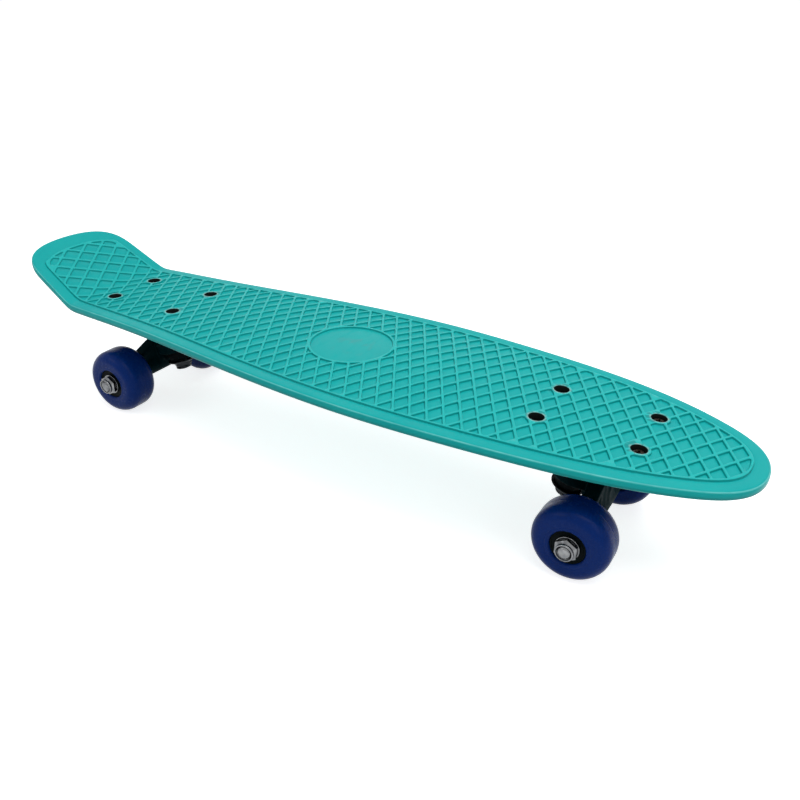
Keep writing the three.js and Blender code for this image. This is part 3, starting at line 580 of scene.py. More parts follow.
def pocket_shells(loops, heights, centre_x, centre_y):
    """Walls between the loops of each pocket and a fan from its last loop to the middle of its floor."""
    pockets, levels, rays = loops.shape[:3]
    height = np.broadcast_to(heights[None, :, None, None], (pockets, levels, rays, 1))
    rings = np.concatenate([loops, height], -1).reshape(-1, 3)
    hubs = np.column_stack([centre_x, centre_y, np.full(pockets, heights[-1])])
    number = np.arange(pockets * levels * rays).reshape(pockets, levels, rays)
    after = np.roll(number, -1, 2)
    walls = np.stack([number[:, :-1], after[:, :-1], after[:, 1:], number[:, 1:]], -1).reshape(-1, 4)
    hub = np.broadcast_to(pockets * levels * rays + np.arange(pockets)[:, None], (pockets, rays))
    fans = np.stack([number[:, -1], after[:, -1], hub], -1).reshape(-1, 3)
    return np.concatenate([rings, hubs]), list(walls) + list(fans)


def sheet_between(outer, holes):
    """Triangles of the flat region inside one loop and outside the others, by a constrained triangulation."""
    loops = [outer, *holes]
    starts = np.cumsum([0] + [len(loop) for loop in loops])
    corners = [Vector(point) for point in np.concatenate(loops).tolist()]
    borders = [list(range(a, b)) for a, b in zip(starts, starts[1:])]
    found, _, faces, _, _, owners = delaunay_2d_cdt(corners, [], borders, 1, 1e-6)
    kept = [face for face, owner in zip(faces, owners) if owner == [0]]
    return np.array([(p.x, p.y, 0.0) for p in found]), kept


# %% Pockets of the top
FULL_RAYS = 20
PART_RAYS = 48
POCKET_REACH = 11.0
LEAST_DEPTH = 0.95


def deepest_points(field, x, y, reach, least, steps=13):
    """Tries a small grid round each pocket's centre; keeps the pockets that are deep enough, with their best points."""
    share = np.linspace(-1, 1, steps)
    try_x, try_y = [part.ravel() for part in np.meshgrid(share * reach[0], share * reach[1])]
    at_x, at_y = x[:, None] + try_x, y[:, None] + try_y
    depth = field(at_x, at_y, x[:, None], y[:, None])
    rows, best = np.arange(len(x)), depth.argmax(1)
    found = np.stack([x, y, at_x[rows, best], at_y[rows, best], depth[rows, best]])
    return found[:, found[-1] > least]


def dug(field, x, y, from_x, from_y, levels, heights, reach, rays, shares=()):
    """Shells of pockets, each seen from a point inside it, with rings on its floor, and the loops of their mouths."""
    own_x, own_y = x[:, None, None], y[:, None, None]
    loops = level_loops(lambda px, py: field(px, py, own_x, own_y), from_x, from_y, levels, reach, rays)
    hubs = np.stack([from_x, from_y], -1)[:, None, None]
    loops = np.concatenate([loops, *[hubs + (loops[:, -1:] - hubs) * share for share in shares]], 1)
    heights = np.concatenate([heights, np.full(len(shares), heights[-1])])
    return pocket_shells(loops, heights, from_x, from_y), list(loops[:, 0])


def top_pockets():
    """Centres on the half steps of the lattice; whole pockets take few rays and cut ones take more."""
    step_x, step_y = LATTICE_PITCH / 2 / np.cos(LATTICE_LEAN), LATTICE_PITCH / 2 / np.sin(LATTICE_LEAN)
    i, j = np.meshgrid(np.arange(-60, 61), np.arange(-8, 9), indexing="ij")
    odd = (i + j) % 2 == 1
    x, y = OVAL_PLACE + i[odd] * step_x, j[odd] * step_y
    near = (np.abs(x) < DECK_LENGTH / 2) & (np.abs(y) < DECK_WIDTH / 2)
    reach = (step_x * 0.8, step_y * 0.8)
    x, y, deep_x, deep_y, depth = deepest_points(lattice_field, x[near], y[near], reach, LEAST_DEPTH)
    whole = depth > (LATTICE_PITCH - RIB_WIDTH) / 2 - 0.45
    shells, holes = [], []
    for chosen, from_x, from_y, rays in ((whole, x, y, FULL_RAYS), (~whole, deep_x, deep_y, PART_RAYS)):
        shell, mouths = dug(lattice_field, x[chosen], y[chosen], from_x[chosen], from_y[chosen],
                            WALL_LEVELS, WALL_HEIGHTS, POCKET_REACH, rays)
        shells.append(shell)
        holes += mouths
    print("pockets:", len(x), "whole:", int(whole.sum()))
    return shells, holes


TOP_SHELLS, TOP_HOLES = top_pockets()

# %% [markdown]
# ## Oval, bolt holes and rim
#
# The oval in the middle is a bare round floor with the same wall round it, and each bolt hole is a tube: down from the
# collar, in under the bolt's head, and on to the pad below. The rim is one profile carried round the outline: out from
# the last rib over the smooth border, round a soft edge, down the side and in again under the skirt.

# %% Rim, oval and holes
CIRCLE_RAYS = 72
HOLE_RAYS = 32
POCKET_RADIUS = 4.8
SHANK_RADIUS = 2.8
MOUTH_ROUND = 0.35
HEAD_SEAT = PLATE_HEIGHT - 5.0
LEDGE_INSET = 7.2
LEDGE_HEIGHT = -6.0
# Each row is an inset, a height, the share of the tail's wider border, and the relief value for the colour: below
# nought it paints a highlight on the rim's corner, and about one half on the lower side paints shade.
RIM_PROFILE = np.array([
    [9.95, 1.0, 1, 1], [9.8, 0.92, 1, 0.92], [9.68, 0.7, 1, 0.7], [9.45, -0.1, 1, 0.15], [9.25, -0.25, 1, 0],
    [8.7, -0.12, 1, 0], [8.2, 0.0, 1, 0], [2.6, 0.0, 0, 0], [1.7, -0.03, 0, 0], [1.1, -0.16, 0, -0.1],
    [0.62, -0.48, 0, -1], [0.28, -0.92, 0, -0.5], [0.06, -1.6, 0, 0], [0.0, -3.6, 0, 0.04], [0.14, -4.8, 0, 0.4],
    [0.55, -5.5, 0, 0.5], [1.2, -6.1, 0, 0.5], [2.1, -6.6, 0, 0.5], [3.1, -6.8, 0, 0.12], [5.0, -6.8, 0, 0],
    [6.3, -6.55, 0, 0], [6.7, -6.2, 0, 0], [7.2, -6.0, 0, 0],
])


RIM_POINTS = 2 * len(EDGE[0]) - 2


def stacked(rings):
    """Joins flat loops one under another, each with its height, or a height for each of its points."""
    return net(np.array([np.column_stack([loop, np.broadcast_to(z, len(loop))]) for loop, z in rings]))


def rim_shell():
    """The rim's profile at every point of the outline."""
    return stacked([(outline(inset, tail * TAIL_BORDER), z) for inset, z, tail, _ in RIM_PROFILE])


def oval_shell():
    """The oval's wall and its floor, in rings that close in on its middle."""
    radii = [*(OVAL_RADIUS - WALL_LEVELS), 26, 20, 13, 6, 0]
    heights = [*WALL_HEIGHTS, *[FLOOR_HEIGHT] * 5]
    return stacked([(circle(OVAL_PLACE, 0, r, CIRCLE_RAYS), z) for r, z in zip(radii, heights)])


def hole_shell(x, y):
    """A bolt's hole, already at its true height, from the collar on the curved top to the flat pad."""
    mouth = [circle(x, y, POCKET_RADIUS + out, HOLE_RAYS) for out in (MOUTH_ROUND, 0.12, 0)]
    rings = [(loop, deck_top(*loop.T) + RIB_HEIGHT - below) for loop, below in zip(mouth, (0, 0.12, 0.4))]
    shank = circle(x, y, SHANK_RADIUS, HOLE_RAYS)
    return stacked([*rings, (mouth[-1], HEAD_SEAT), (shank, HEAD_SEAT), (shank, PAD_HEIGHT)])


# %% [markdown]
# ## Underside
#
# From below the deck is a shallow tray, stiffened by ribs along and across, with a flat pad for each truck. The same
# pocket method draws it, with a different field: straight ribs in place of the lattice, and the pads in place of the
# collars.

# %% Underside
BELLY_RIB = 2.6
BELLY_PITCH = 30.0
PAD_SIZE = np.array([BOLT_ALONG + 20, BOLT_ACROSS + 20])
PAD_CORNER = 5.0
PAD_FLARE = 0.6
PAD_CHAMFER = 0.3
CEILING = -4.0
BELLY_LEVELS = np.array([-0.1, 0.15, 0.35, 0.9, 1.5])
BELLY_HEIGHTS = np.array([LEDGE_HEIGHT, LEDGE_HEIGHT + 0.12, LEDGE_HEIGHT + 0.4, CEILING - 0.5, CEILING])
BELLY_SHARES = (0.7, 0.38)
BELLY_REACH = 60.0
BELLY_LEAST = 1.9
BEYOND = 90.0


def rounded_rectangle(x, y, size, corner):
    """Distance outside a rectangle with round corners."""
    past = np.stack([np.abs(x), np.abs(y)], -1) - size / 2 + corner
    return np.hypot(*np.moveaxis(np.maximum(past, 0), -1, 0)) + np.minimum(past.max(-1), 0) - corner


def belly_field(x, y, centre_x, centre_y):
    """Distance to the ribs round one cell of the tray, to the skirt and to the pads."""
    half, rib_y = BELLY_RIB / 2, BOLT_ACROSS / 2
    row_low = np.where(centre_y < -rib_y, -BEYOND, np.floor(centre_y / rib_y) * rib_y)
    row_high = np.where(centre_y > rib_y, BEYOND, np.where(centre_y < -rib_y, -rib_y, row_low + rib_y))
    walls = [BELLY_PITCH / 2 - half - np.abs(x - centre_x), y - row_low - half, row_high - half - y,
             edge_distance(x, y) - LEDGE_INSET - 1.6]
    for pad_x in TRUCK_X.values():
        walls.append(rounded_rectangle(x - pad_x, y, PAD_SIZE, PAD_CORNER) - 2.4)
    return joined(0.3, *walls)


def belly_pockets():
    """Cells between the ribs: four rows, and a column for each step along the deck."""
    columns = MIDDLE_X + BELLY_PITCH * (np.arange(-10, 10) + 0.5)
    rows = np.array([-44.0, -10.3, 10.3, 44.0])
    x, y = [part.ravel() for part in np.meshgrid(columns[np.abs(columns) < DECK_LENGTH / 2], rows, indexing="ij")]
    x, y, deep_x, deep_y, _ = deepest_points(belly_field, x, y, (BELLY_PITCH / 2, 24), BELLY_LEAST, 25)
    print("cells below:", len(x))
    return dug(belly_field, x, y, deep_x, deep_y, BELLY_LEVELS, BELLY_HEIGHTS, BELLY_REACH, PART_RAYS, BELLY_SHARES)


def pad_loop(pad_x, grow=0.0):
    """A pad's outline: a rounded rectangle, walked from the middle of its right side."""
    angle = 2 * np.pi * (np.arange(64) + 0.5) / 64
    way = np.stack([np.cos(angle), np.sin(angle)], -1)
    return np.sign(way) * (PAD_SIZE / 2 - PAD_CORNER) + (PAD_CORNER + grow) * way + (pad_x, 0)


def pad_shell(pad_x):
    """A pad's side, from the ledge of the tray down to its flat face."""
    flare = [pad_loop(pad_x, grow) for grow in (PAD_FLARE, 0.3)]
    rings = [(loop, deck_top(*loop.T) + LEDGE_HEIGHT - below) for loop, below in zip(flare, (0, 0.2))]
    return stacked([*rings, (pad_loop(pad_x), PAD_HEIGHT + 0.35), (pad_loop(pad_x, -PAD_CHAMFER), PAD_HEIGHT)])


# %% [markdown]
# ## One closed deck
#
# Two flat sheets are still missing: the tops of the ribs above, and the ledges of the tray below. Each is the region
# between its outer loop and the loops of its pockets, cut into triangles, and the pads' faces are made the same way.
# With the sheets in place every edge has two faces, and the pieces merge into one closed skin.

# %% Put the deck together


def at_height(sheet, height):
    """A sheet's points moved to a height."""
    points, faces = sheet
    return points + (0, 0, height), faces


def make_deck():
    collars = [circle(x, y, POCKET_RADIUS + MOUTH_ROUND, HOLE_RAYS) for _, _, _, x, y in BOLTS]
    oval = circle(OVAL_PLACE, 0, OVAL_RADIUS - WALL_LEVELS[0], CIRCLE_RAYS)
    top = at_height(sheet_between(outline(RIM_PROFILE[0, 0], TAIL_BORDER), [*TOP_HOLES, *collars, oval]), RIB_HEIGHT)
    cells, cell_holes = belly_pockets()
    pads = [pad_loop(x, PAD_FLARE) for x in TRUCK_X.values()]
    bottom = at_height(sheet_between(outline(RIM_PROFILE[-1, 0]), [*cell_holes, *pads]), LEDGE_HEIGHT)
    flat = [*TOP_SHELLS, rim_shell(), oval_shell(), top, cells, bottom]
    shells = [(lifted(points), faces) for points, faces in flat]
    relief = [np.clip(points[:, 2] / RIB_HEIGHT, 0, 1) for points, _ in flat]
    # The rim's relief is the profile's last column, with its painted highlight and painted shade.
    relief[len(TOP_SHELLS)] = np.repeat(RIM_PROFILE[:, 3], RIM_POINTS)
    for end, pad_x in TRUCK_X.items():
        shells.append(pad_shell(pad_x))
        mouths = [circle(x, y, SHANK_RADIUS, HOLE_RAYS) for name, _, _, x, y in BOLTS if name == end]
        shells.append(at_height(sheet_between(pad_loop(pad_x, -PAD_CHAMFER), mouths), PAD_HEIGHT))
    shells += [hole_shell(x, y) for _, _, _, x, y in BOLTS]
    relief += [np.zeros(len(points)) for points, _ in shells[len(flat):]]
    return piece("deck_moulding", shells, "board", "deck_plastic", "deck", layer=relief)


deck = make_deck()
print("deck faces:", len(deck.data.polygons))

# %% [markdown]
# ## Turned pieces
#
# Wheels, bearings, washers, bushings and pins are all turned shapes: a section carried once round an axis. A section
# is written as a few corners, each with its own softness, because nothing that is moulded or rolled has a true corner.
# A hexagon is the same idea with one change: at each angle the radius is the lesser of the section's and the
# hexagon's. A section wider than the hexagon then gives flats, and its slopes give the chamfered corners.

# %% Sections and solids of revolution


def softened(corners, closed=False, steps=4):
    """Each corner (a, b, softness) becomes a short curve from one side to the next: a quadratic blend of its ends."""
    spots = np.array([corner[:2] for corner in corners], float)
    share = np.linspace(0, 1, steps + 1)[:, None]
    rows = []
    for number, (here, soft) in enumerate(zip(spots, [corner[2] for corner in corners])):
        at_end = not closed and number in (0, len(spots) - 1)
        if soft == 0 or at_end:
            rows.append(here[None])
            continue
        back, ahead = spots[number - 1] - here, spots[(number + 1) % len(spots)] - here
        start = here + back * min(0.49, soft / np.hypot(*back))
        end = here + ahead * min(0.49, soft / np.hypot(*ahead))
        rows.append((1 - share) ** 2 * start + 2 * share * (1 - share) * here + share ** 2 * end)
    return np.concatenate(rows)


def turned(section, rays=96, closed=False, across=None):
    """Carries (radius, height) round the height; across limits the radius to a hexagon of that width over flats."""
    angle = 2 * np.pi * np.arange(rays) / rays
    radius = np.broadcast_to(section[:, :1], (len(section), rays))
    if across is not None:
        from_flat = (angle + np.pi / 6) % (np.pi / 3) - np.pi / 6
        radius = np.minimum(radius, across / 2 / np.cos(from_flat))
    height = np.broadcast_to(section[:, 1:], radius.shape)
    grid = np.stack([radius * np.cos(angle), radius * np.sin(angle), height], -1)
    return net(grid, close_rows=closed)


def aimed(shell, origin, direction):
    """Turns a shell drawn along +Z to lie along a direction, from an origin."""
    points, faces = shell
    direction = np.array(direction, float) / np.linalg.norm(direction)
    side = np.cross([0, 1, 0], direction) if abs(direction[1]) < 0.9 else np.array([1.0, 0, 0])
    side = side / np.linalg.norm(side)
    return points @ np.stack([side, np.cross(direction, side), direction]) + origin, faces


def seated(shell, end):
    """Moves a truck's shell to its end of the board; the rear truck faces the other way."""
    points, faces = shell
    return points * (ENDS[end], ENDS[end], 1) + (TRUCK_X[end], 0, 0), faces


# %% [markdown]
# ## Moulded solids from a distance field
#
# The truck's hanger is a lump where a barrel, two wings, a ring and an arm flow into each other. Modelling that by
# hand means many fillets. As a distance field it is a sum: every simple shape gives its distance, a soft minimum joins
# two shapes with a fillet of its own, and the same formula turned round cuts one shape out of another. The surface is
# then found in three steps: a coarse grid says which cells the surface crosses, each such cell gets one point, and a
# few Newton steps pull the points onto the surface exactly.

# %% Fields and their skin
GRID_STEP = 0.8


def common(softness, *fields):
    """Soft maximum of distances: what all the shapes share, with its edges rounded."""
    return -joined(softness, *[-field for field in fields])


def rod_field(p, origin, direction, radius, low, high, softness=0.4):
    """A rod from low to high along a direction from an origin."""
    direction = np.array(direction, float) / np.linalg.norm(direction)
    apart = p - np.array(origin, float)
    along = apart @ direction
    across = np.sqrt(np.maximum((apart ** 2).sum(-1) - along ** 2, 0))
    return common(softness, across - radius, along - high, low - along)


def plate_field(a, b, c, corners, thickness, softness=0.5):
    """A plate with a convex outline in a and b, thick across c: the greatest distance past any of its sides."""
    corners = np.array(corners, float)
    middle = corners.mean(0)
    sides = [np.abs(c) - thickness / 2]
    for here, after in zip(corners, np.roll(corners, -1, 0)):
        out = np.array([after[1] - here[1], here[0] - after[0]])
        out /= np.hypot(*out)
        out *= np.sign(out @ (here - middle))
        sides.append((a - here[0]) * out[0] + (b - here[1]) * out[1])
    return common(softness, *sides)


def slope(field, points, reach=0.02):
    """The field's gradient, by differences across each point."""
    steps = reach * np.eye(3)
    return np.stack([field(points + step) - field(points - step) for step in steps], -1) / (2 * reach)


def onto(field, points, rounds=4):
    """Newton steps along the gradient, none longer than a grid step."""
    for _ in range(rounds):
        way = slope(field, points)
        size = np.maximum((way ** 2).sum(-1), 0.05)
        move = way * (field(points) / size)[:, None]
        length = np.maximum(np.linalg.norm(move, axis=-1, keepdims=True), 1e-9)
        points = points - move * np.minimum(1, GRID_STEP / length)
    return points


def skin(field, low, high):
    """The surface where a field is zero, as one point for each crossed cell and one face for each crossed edge."""
    axes = [np.arange(a, b + GRID_STEP, GRID_STEP) for a, b in zip(low, high)]
    nodes = np.stack(np.meshgrid(*axes, indexing="ij"), -1)
    inside = np.stack([field(layer) < 0 for layer in nodes])
    cells = [slice(0, -1), slice(1, None)]
    full = sum(inside[i, j, k].astype(int) for i in cells for j in cells for k in cells)
    crossed = (full > 0) & (full < 8)
    number = np.full(full.shape, -1)
    number[crossed] = np.arange(crossed.sum())
    points = np.array(low) + (np.argwhere(crossed) + 0.5) * GRID_STEP
    faces = []
    for axis in range(3):
        line = np.moveaxis(inside, axis, 0)
        cell = np.moveaxis(number, axis, 0)
        change = line[:-1, 1:-1, 1:-1] != line[1:, 1:-1, 1:-1]
        i, j, k = np.nonzero(change)
        faces.append(np.stack([cell[i, j, k], cell[i, j + 1, k], cell[i, j + 1, k + 1], cell[i, j, k + 1]], -1))
    faces = np.concatenate(faces)
    points = onto(field, points)
    for _ in range(2):
        total, count = np.zeros_like(points), np.zeros(len(points))
        for shift in (1, 3):
            np.add.at(total, faces, points[np.roll(faces, shift, 1)])
            np.add.at(count, faces, 1)
        points = onto(field, total / count[:, None])
    return points, faces


# %% [markdown]
# ## Truck sizes
#
# A truck is drawn once, with +X pointing to its own end of the board and its middle under the middle of its four
# bolts. The kingpin leans fifteen degrees, and the yoke of the hanger is clamped on it between two bushings. The
# hanger steers about the line from the yoke to the pivot nose, which sits in a plastic cup in the baseplate.

# %% Truck sizes
WHEEL_RADIUS = 24.5
AXLE_PLACE = np.array([8.5, 0, WHEEL_RADIUS])
YOKE_PLACE = np.array([-9.0, 0, 41.9])
LEAN = np.radians(15)
KINGPIN_WAY = np.array([np.sin(LEAN), 0, np.cos(LEAN)])
PIVOT_LENGTH = np.hypot(36.5, 18.1)
PIVOT_WAY = np.array([36.5, 0, 18.1]) / PIVOT_LENGTH
NOSE_START = PIVOT_LENGTH - 7.6
WHEEL_OUTER = 56.3
WHEEL_HALF = 13.0
WHEEL_INNER = WHEEL_OUTER - 2 * WHEEL_HALF
BARREL_HALF = WHEEL_INNER - 0.8
BEARING_SINK = 1.3
BEARING_WIDTH = 7.0
BEARING_RADIUS = 11.0
YOKE_HALF = 4.0
YOKE_RADIUS = 15.4
BARREL_RADIUS = 7.4
SPIGOT_RADIUS = 5.9
SPIGOT_HALF = 31.4
ARM_RADIUS = 6.4
NOSE_RADIUS = 4.95
BOSS_RADIUS = 10.7
HOUSING_RADIUS = 9.9
PIN_RADIUS = 4.0
PIN_HOLE = 4.4
THROUGH = 60
BASE_THICKNESS = 5.8
BASE_UNDERSIDE = PAD_HEIGHT - BASE_THICKNESS
BASE_SIZE = np.array([BOLT_ALONG + 16.8, BOLT_ACROSS + 16.8])
BASE_CORNER = 8.0
SEAT_FACE = 16.4
HEAD_SEAT_ALONG = 22.4
HOLE_RADIUS = 4.15
CLEARANCE = 0.15
BUSHING_FACE = 4.32
NUT_ACROSS = 13
SIDEWAYS = (0, 1, 0)
UP = (0, 0, 1)

# %% [markdown]
# ## The hanger
#
# The barrel carries the axle from wheel to wheel. Two wings rise from it to the yoke, a web and a gusset stiffen the
# corner, and a round arm ends in the pivot nose. The joins take fillets of about three millimetres, as glass filled
# nylon needs; the mouths of the bores are cut after joining and stay crisp.

# %% Hanger


def hanger_field(p):
    x, y, z = p[..., 0], p[..., 1], p[..., 2]
    left, right = AXLE_PLACE[0] - 5, AXLE_PLACE[0] + 5
    arm_end = YOKE_PLACE + PIVOT_WAY * (NOSE_START - 3.3)
    barrel = rod_field(p, AXLE_PLACE, SIDEWAYS, BARREL_RADIUS, -BARREL_HALF, BARREL_HALF)
    spigot = rod_field(p, AXLE_PLACE, SIDEWAYS, SPIGOT_RADIUS, -SPIGOT_HALF, SPIGOT_HALF, 0.15)
    low = WHEEL_RADIUS
    wing = plate_field(y, z, x - AXLE_PLACE[0], [
        (-BARREL_HALF, low), (BARREL_HALF, low), (BARREL_HALF, low + 12.5), (12, low + 20),
        (-12, low + 20), (-BARREL_HALF, low + 12.5),
    ], 9.8)
    scoop = plate_field(np.abs(y) - 20.5, z - 34.5, np.abs(x - AXLE_PLACE[0]) - 5.4,
                        [(-5, -4), (5, -4), (5, 0.5), (-5, 3.6)], 2.4, 0.4)
    wing = common(0.3, wing, -scoop)
    yoke = rod_field(p, YOKE_PLACE, KINGPIN_WAY, YOKE_RADIUS, -YOKE_HALF, YOKE_HALF, 0.5)
    web = plate_field(x, z, y, [YOKE_PLACE[::2], (left, low), (right, low), (right, YOKE_PLACE[2])], 17.6)
    gusset = plate_field(x, z, y, [(left, low), (right, low), arm_end[::2], (left, YOKE_PLACE[2])], 8.6)
    arm = rod_field(p, YOKE_PLACE, PIVOT_WAY, ARM_RADIUS, 0, NOSE_START - 0.3, 0.8)
    nose = rod_field(p, YOKE_PLACE, PIVOT_WAY, NOSE_RADIUS, 0, PIVOT_LENGTH - 0.1, 1.6)
    body = joined(1.3, barrel, wing, web, gusset, yoke, arm)
    body = joined(0.3, body, spigot, nose)
    above = rod_field(p, YOKE_PLACE, KINGPIN_WAY, YOKE_RADIUS - 0.8, YOKE_HALF, THROUGH, 0.3)
    below = rod_field(p, YOKE_PLACE, KINGPIN_WAY, YOKE_RADIUS - 1.8, -THROUGH, -YOKE_HALF, 0.3)
    hole = rod_field(p, YOKE_PLACE, KINGPIN_WAY, PIN_RADIUS + 1.3, -THROUGH, THROUGH)
    bore = rod_field(p, AXLE_PLACE, SIDEWAYS, HOLE_RADIUS, -THROUGH, THROUGH)
    return common(0.25, body, -above, -below, -hole, -bore)


HANGER = skin(hanger_field, (-26, -32.2, 15.6), (29.5, 32.2, 64))
print("hanger faces:", len(HANGER[1]))

# %% [markdown]
# ## The baseplate
#
# The baseplate is a flat with round corners, bolted to the pad of the deck. A boss under it seats the hexagon head of
# the kingpin, a housing holds the pivot cup, and two low ribs join them so that the steering load has a short way into
# the flat.

# %% Baseplate


def baseplate_field(p):
    x, y, z = p[..., 0], p[..., 1], p[..., 2]
    side = rounded_rectangle(x, y, BASE_SIZE, BASE_CORNER)
    flat = common(0.35, side, BASE_UNDERSIDE - z, z - PAD_HEIGHT - 3)
    boss = rod_field(p, YOKE_PLACE, KINGPIN_WAY, BOSS_RADIUS, SEAT_FACE, 34, 0.5)
    housing = rod_field(p, YOKE_PLACE, PIVOT_WAY, HOUSING_RADIUS, NOSE_START + 0.6, PIVOT_LENGTH + 4.7, 0.6)
    ribs = plate_field(x, z, np.abs(y) - 6.2, [(2, 74), (26, 74), (26, 62.5), (14, 64.6), (2, 62.8)], 2.2, 0.4)
    spots = [(a * BOLT_ALONG / 2, b * BOLT_ACROSS / 2, 0) for a in (-1, 1) for b in (-1, 1)]
    pads = [rod_field(p, spot, UP, 6.2, BASE_UNDERSIDE - 0.1, 74, 0.3) for spot in spots]
    body = joined(1.2, flat, boss, housing, ribs)
    body = joined(0.3, body, *pads)
    bores = [rod_field(p, YOKE_PLACE, KINGPIN_WAY, PIN_HOLE, 0, 40), hexagon_pocket(p, 13.6, HEAD_SEAT_ALONG),
             rod_field(p, YOKE_PLACE, PIVOT_WAY, 7.05, 20, PIVOT_LENGTH + 1.95),
             *[rod_field(p, spot, UP, SHANK_RADIUS, 0, 90) for spot in spots]]
    return common(0.2, body, z - PAD_HEIGHT, *[-bore for bore in bores])


def hexagon_pocket(p, across, low):
    """A hexagon pocket round the kingpin, open upward: the greatest of three distances between its flats."""
    apart = p - YOKE_PLACE
    side = apart @ np.cross([0, 1, 0], KINGPIN_WAY)
    flats = [np.abs(np.cos(turn) * side + np.sin(turn) * apart[..., 1]) - across / 2
             for turn in np.pi / 3 * np.arange(3)]
    return common(0.15, *flats, low - apart @ KINGPIN_WAY)


BASEPLATE = skin(baseplate_field, (-40.4, -30.2, 46.8), (40.4, 30.2, 73))
print("baseplate faces:", len(BASEPLATE[1]))

# %% [markdown]
# ## Wheels, bearings and fasteners
#
# A wheel's shoulder is a quarter of an ellipse, which is what gives a cruiser wheel its round lip. The two bearings
# are pressed into its hub, and show as dark shields sunk a little below the face. The lock nut's far end is a collar
# rolled over a nylon ring, and the axle ends in a low dome just proud of it.

# %% Sections
SHOULDER_START = 17.0
SHOULDER_DEPTH = 8.6
BEARING_SEAT = BEARING_RADIUS + 0.12


def wheel_section():
    """Hub, face, shoulder and tread of one side, then the same mirrored; a hair line runs round the middle."""
    share = np.linspace(0, np.pi / 2, 15)
    shoulder = np.stack([SHOULDER_START + (WHEEL_RADIUS - SHOULDER_START) * np.sin(share),
                         WHEEL_HALF - SHOULDER_DEPTH * (1 - np.cos(share))], -1)
    core = WHEEL_HALF - BEARING_SINK - BEARING_WIDTH - CLEARANCE
    hub = softened([(8.5, 0, 0), (8.5, core, 0.4), (BEARING_SEAT, core, 0.2),
                    (BEARING_SEAT, WHEEL_HALF - 0.8, 0.2), (BEARING_SEAT + 0.8, WHEEL_HALF, 0.25),
                    (13.4, WHEEL_HALF, 0.2), (13.5, WHEEL_HALF - 0.12, 0.1), (14.1, WHEEL_HALF - 0.12, 0.1),
                    (14.2, WHEEL_HALF, 0.2), (15.6, WHEEL_HALF, 0)], steps=3)
    tread = np.array([(WHEEL_RADIUS, 2.6), (WHEEL_RADIUS, 0.8), (WHEEL_RADIUS, 0.24), (WHEEL_RADIUS - 0.06, 0.1)])
    side = np.concatenate([hub, shoulder, tread])
    return np.concatenate([side, (side * (1, -1))[:0:-1]])


def bearing_section():
    """Outer race, sunk shield and inner race, from the open face to the closed one."""
    half = BEARING_WIDTH / 2
    face = [(BEARING_RADIUS, -half, 0.4), (BEARING_RADIUS, half, 0.4), (9.9, half, 0.12), (9.75, half - 0.3, 0.1),
            (9.2, half - 0.45, 0.1), (7.4, half - 0.45, 0.1), (6.75, half - 0.6, 0.1), (6.2, half - 0.6, 0.1),
            (6.05, half - 0.05, 0.12), (HOLE_RADIUS, half - 0.02, 0.3)]
    other = [(r, -h, soft) for r, h, soft in face[:1:-1]]
    return softened(face + other, closed=True, steps=3)


def nut_section(bore, across, height, collar=None):
    """A chamfered hexagon from its seat up, then a second chamfer, or a lock nut's collar with its nylon ring."""
    flat, peak = across / 2, across / np.sqrt(3)
    rise = 0.45 * (peak - flat)
    foot = [(bore, 0.4, 0), (bore + 0.4, 0, 0.1), (flat, 0, 0.1), (peak + 0.2, rise, 0.1)]
    top = [(peak + 0.2, height - rise, 0.1), (flat, height, 0.1), (bore + 0.4, height, 0.1), (bore, height - 0.4, 0)]
    if collar is not None:
        step = height - 2.1
        top = [
            (peak + 0.2, step - 2 * rise, 0.1), (collar - 0.3, step, 0.25), (collar - 0.15, step + 0.25, 0.2),
            (collar, height - 0.6, 0.5), (collar - 0.35, height, 0.3), (collar - 0.95, height, 0.25),
            (collar - 1.15, height - 0.9, 0.25), (collar - 1.5, height - 1.2, 0.1), (bore, height - 1.25, 0.1),
            (bore, height - 1.5, 0),
        ]
    return softened(foot + top, closed=True, steps=3)


def threaded(radius, low, high, pitch=1.0, depth=0.35):
    """Thread rings from low to high, as a row of soft ridges."""
    height = np.arange(low, high, pitch / 6)
    wave = np.abs(((height - low) / pitch) % 1 - 0.5) * 2
    return np.stack([radius - depth * wave, height], -1)


def washer_section(inner, outer, high):
    """A flat ring with rounded edges."""
    return softened([(inner, 0, 0.3), (outer, 0, 0.3), (outer, high, 0.3), (inner, high, 0.3)], closed=True)


def bushing_section(foot, waist, waist_height, top, top_height):
    """A bushing from the face toward the hanger to the one toward its cup washer, bulged or tapered."""
    return softened([(HOLE_RADIUS, BUSHING_FACE, 0.3), (foot, BUSHING_FACE, 0.9), (waist, waist_height, 3),
                     (top, top_height, 0.9), (HOLE_RADIUS, top_height, 0.3)], closed=True, steps=6)


def cup_section(rim, seat):
    """A dished washer with its lip turned toward its bushing."""
    return softened([(HOLE_RADIUS, seat, 0.2), (rim - 1.1, seat - 0.05, 0.4), (rim - 0.5, seat - 0.53, 0.2),
                     (rim, seat - 0.45, 0.2), (rim, seat + 0.35, 0.3), (rim - 0.8, seat + 0.93, 0.4),
                     (HOLE_RADIUS, seat + 0.93, 0.2)], closed=True)


# %% [markdown]
# ## Place everything
#
# Each piece now takes its place: the baseplates, kingpins and cups ride on the board, the hanger and its axle on the
# hanger's body, and each wheel takes its two bearings along. The washer and the nut stay with the axle. The bushings
# are clamped between board and hanger, so they ride on the board instead of turning with the steering.

# %% Pieces of one truck
PIN_END = -20.7
CLAMPED = (
    ("upper", 1, (11.3, 12, 9.3, 11.5, 14.28), (12, 15.15)),
    ("lower", -1, (10.9, 10.3, 8.4, 8.95, 12.28), (11, 13.15)),
)


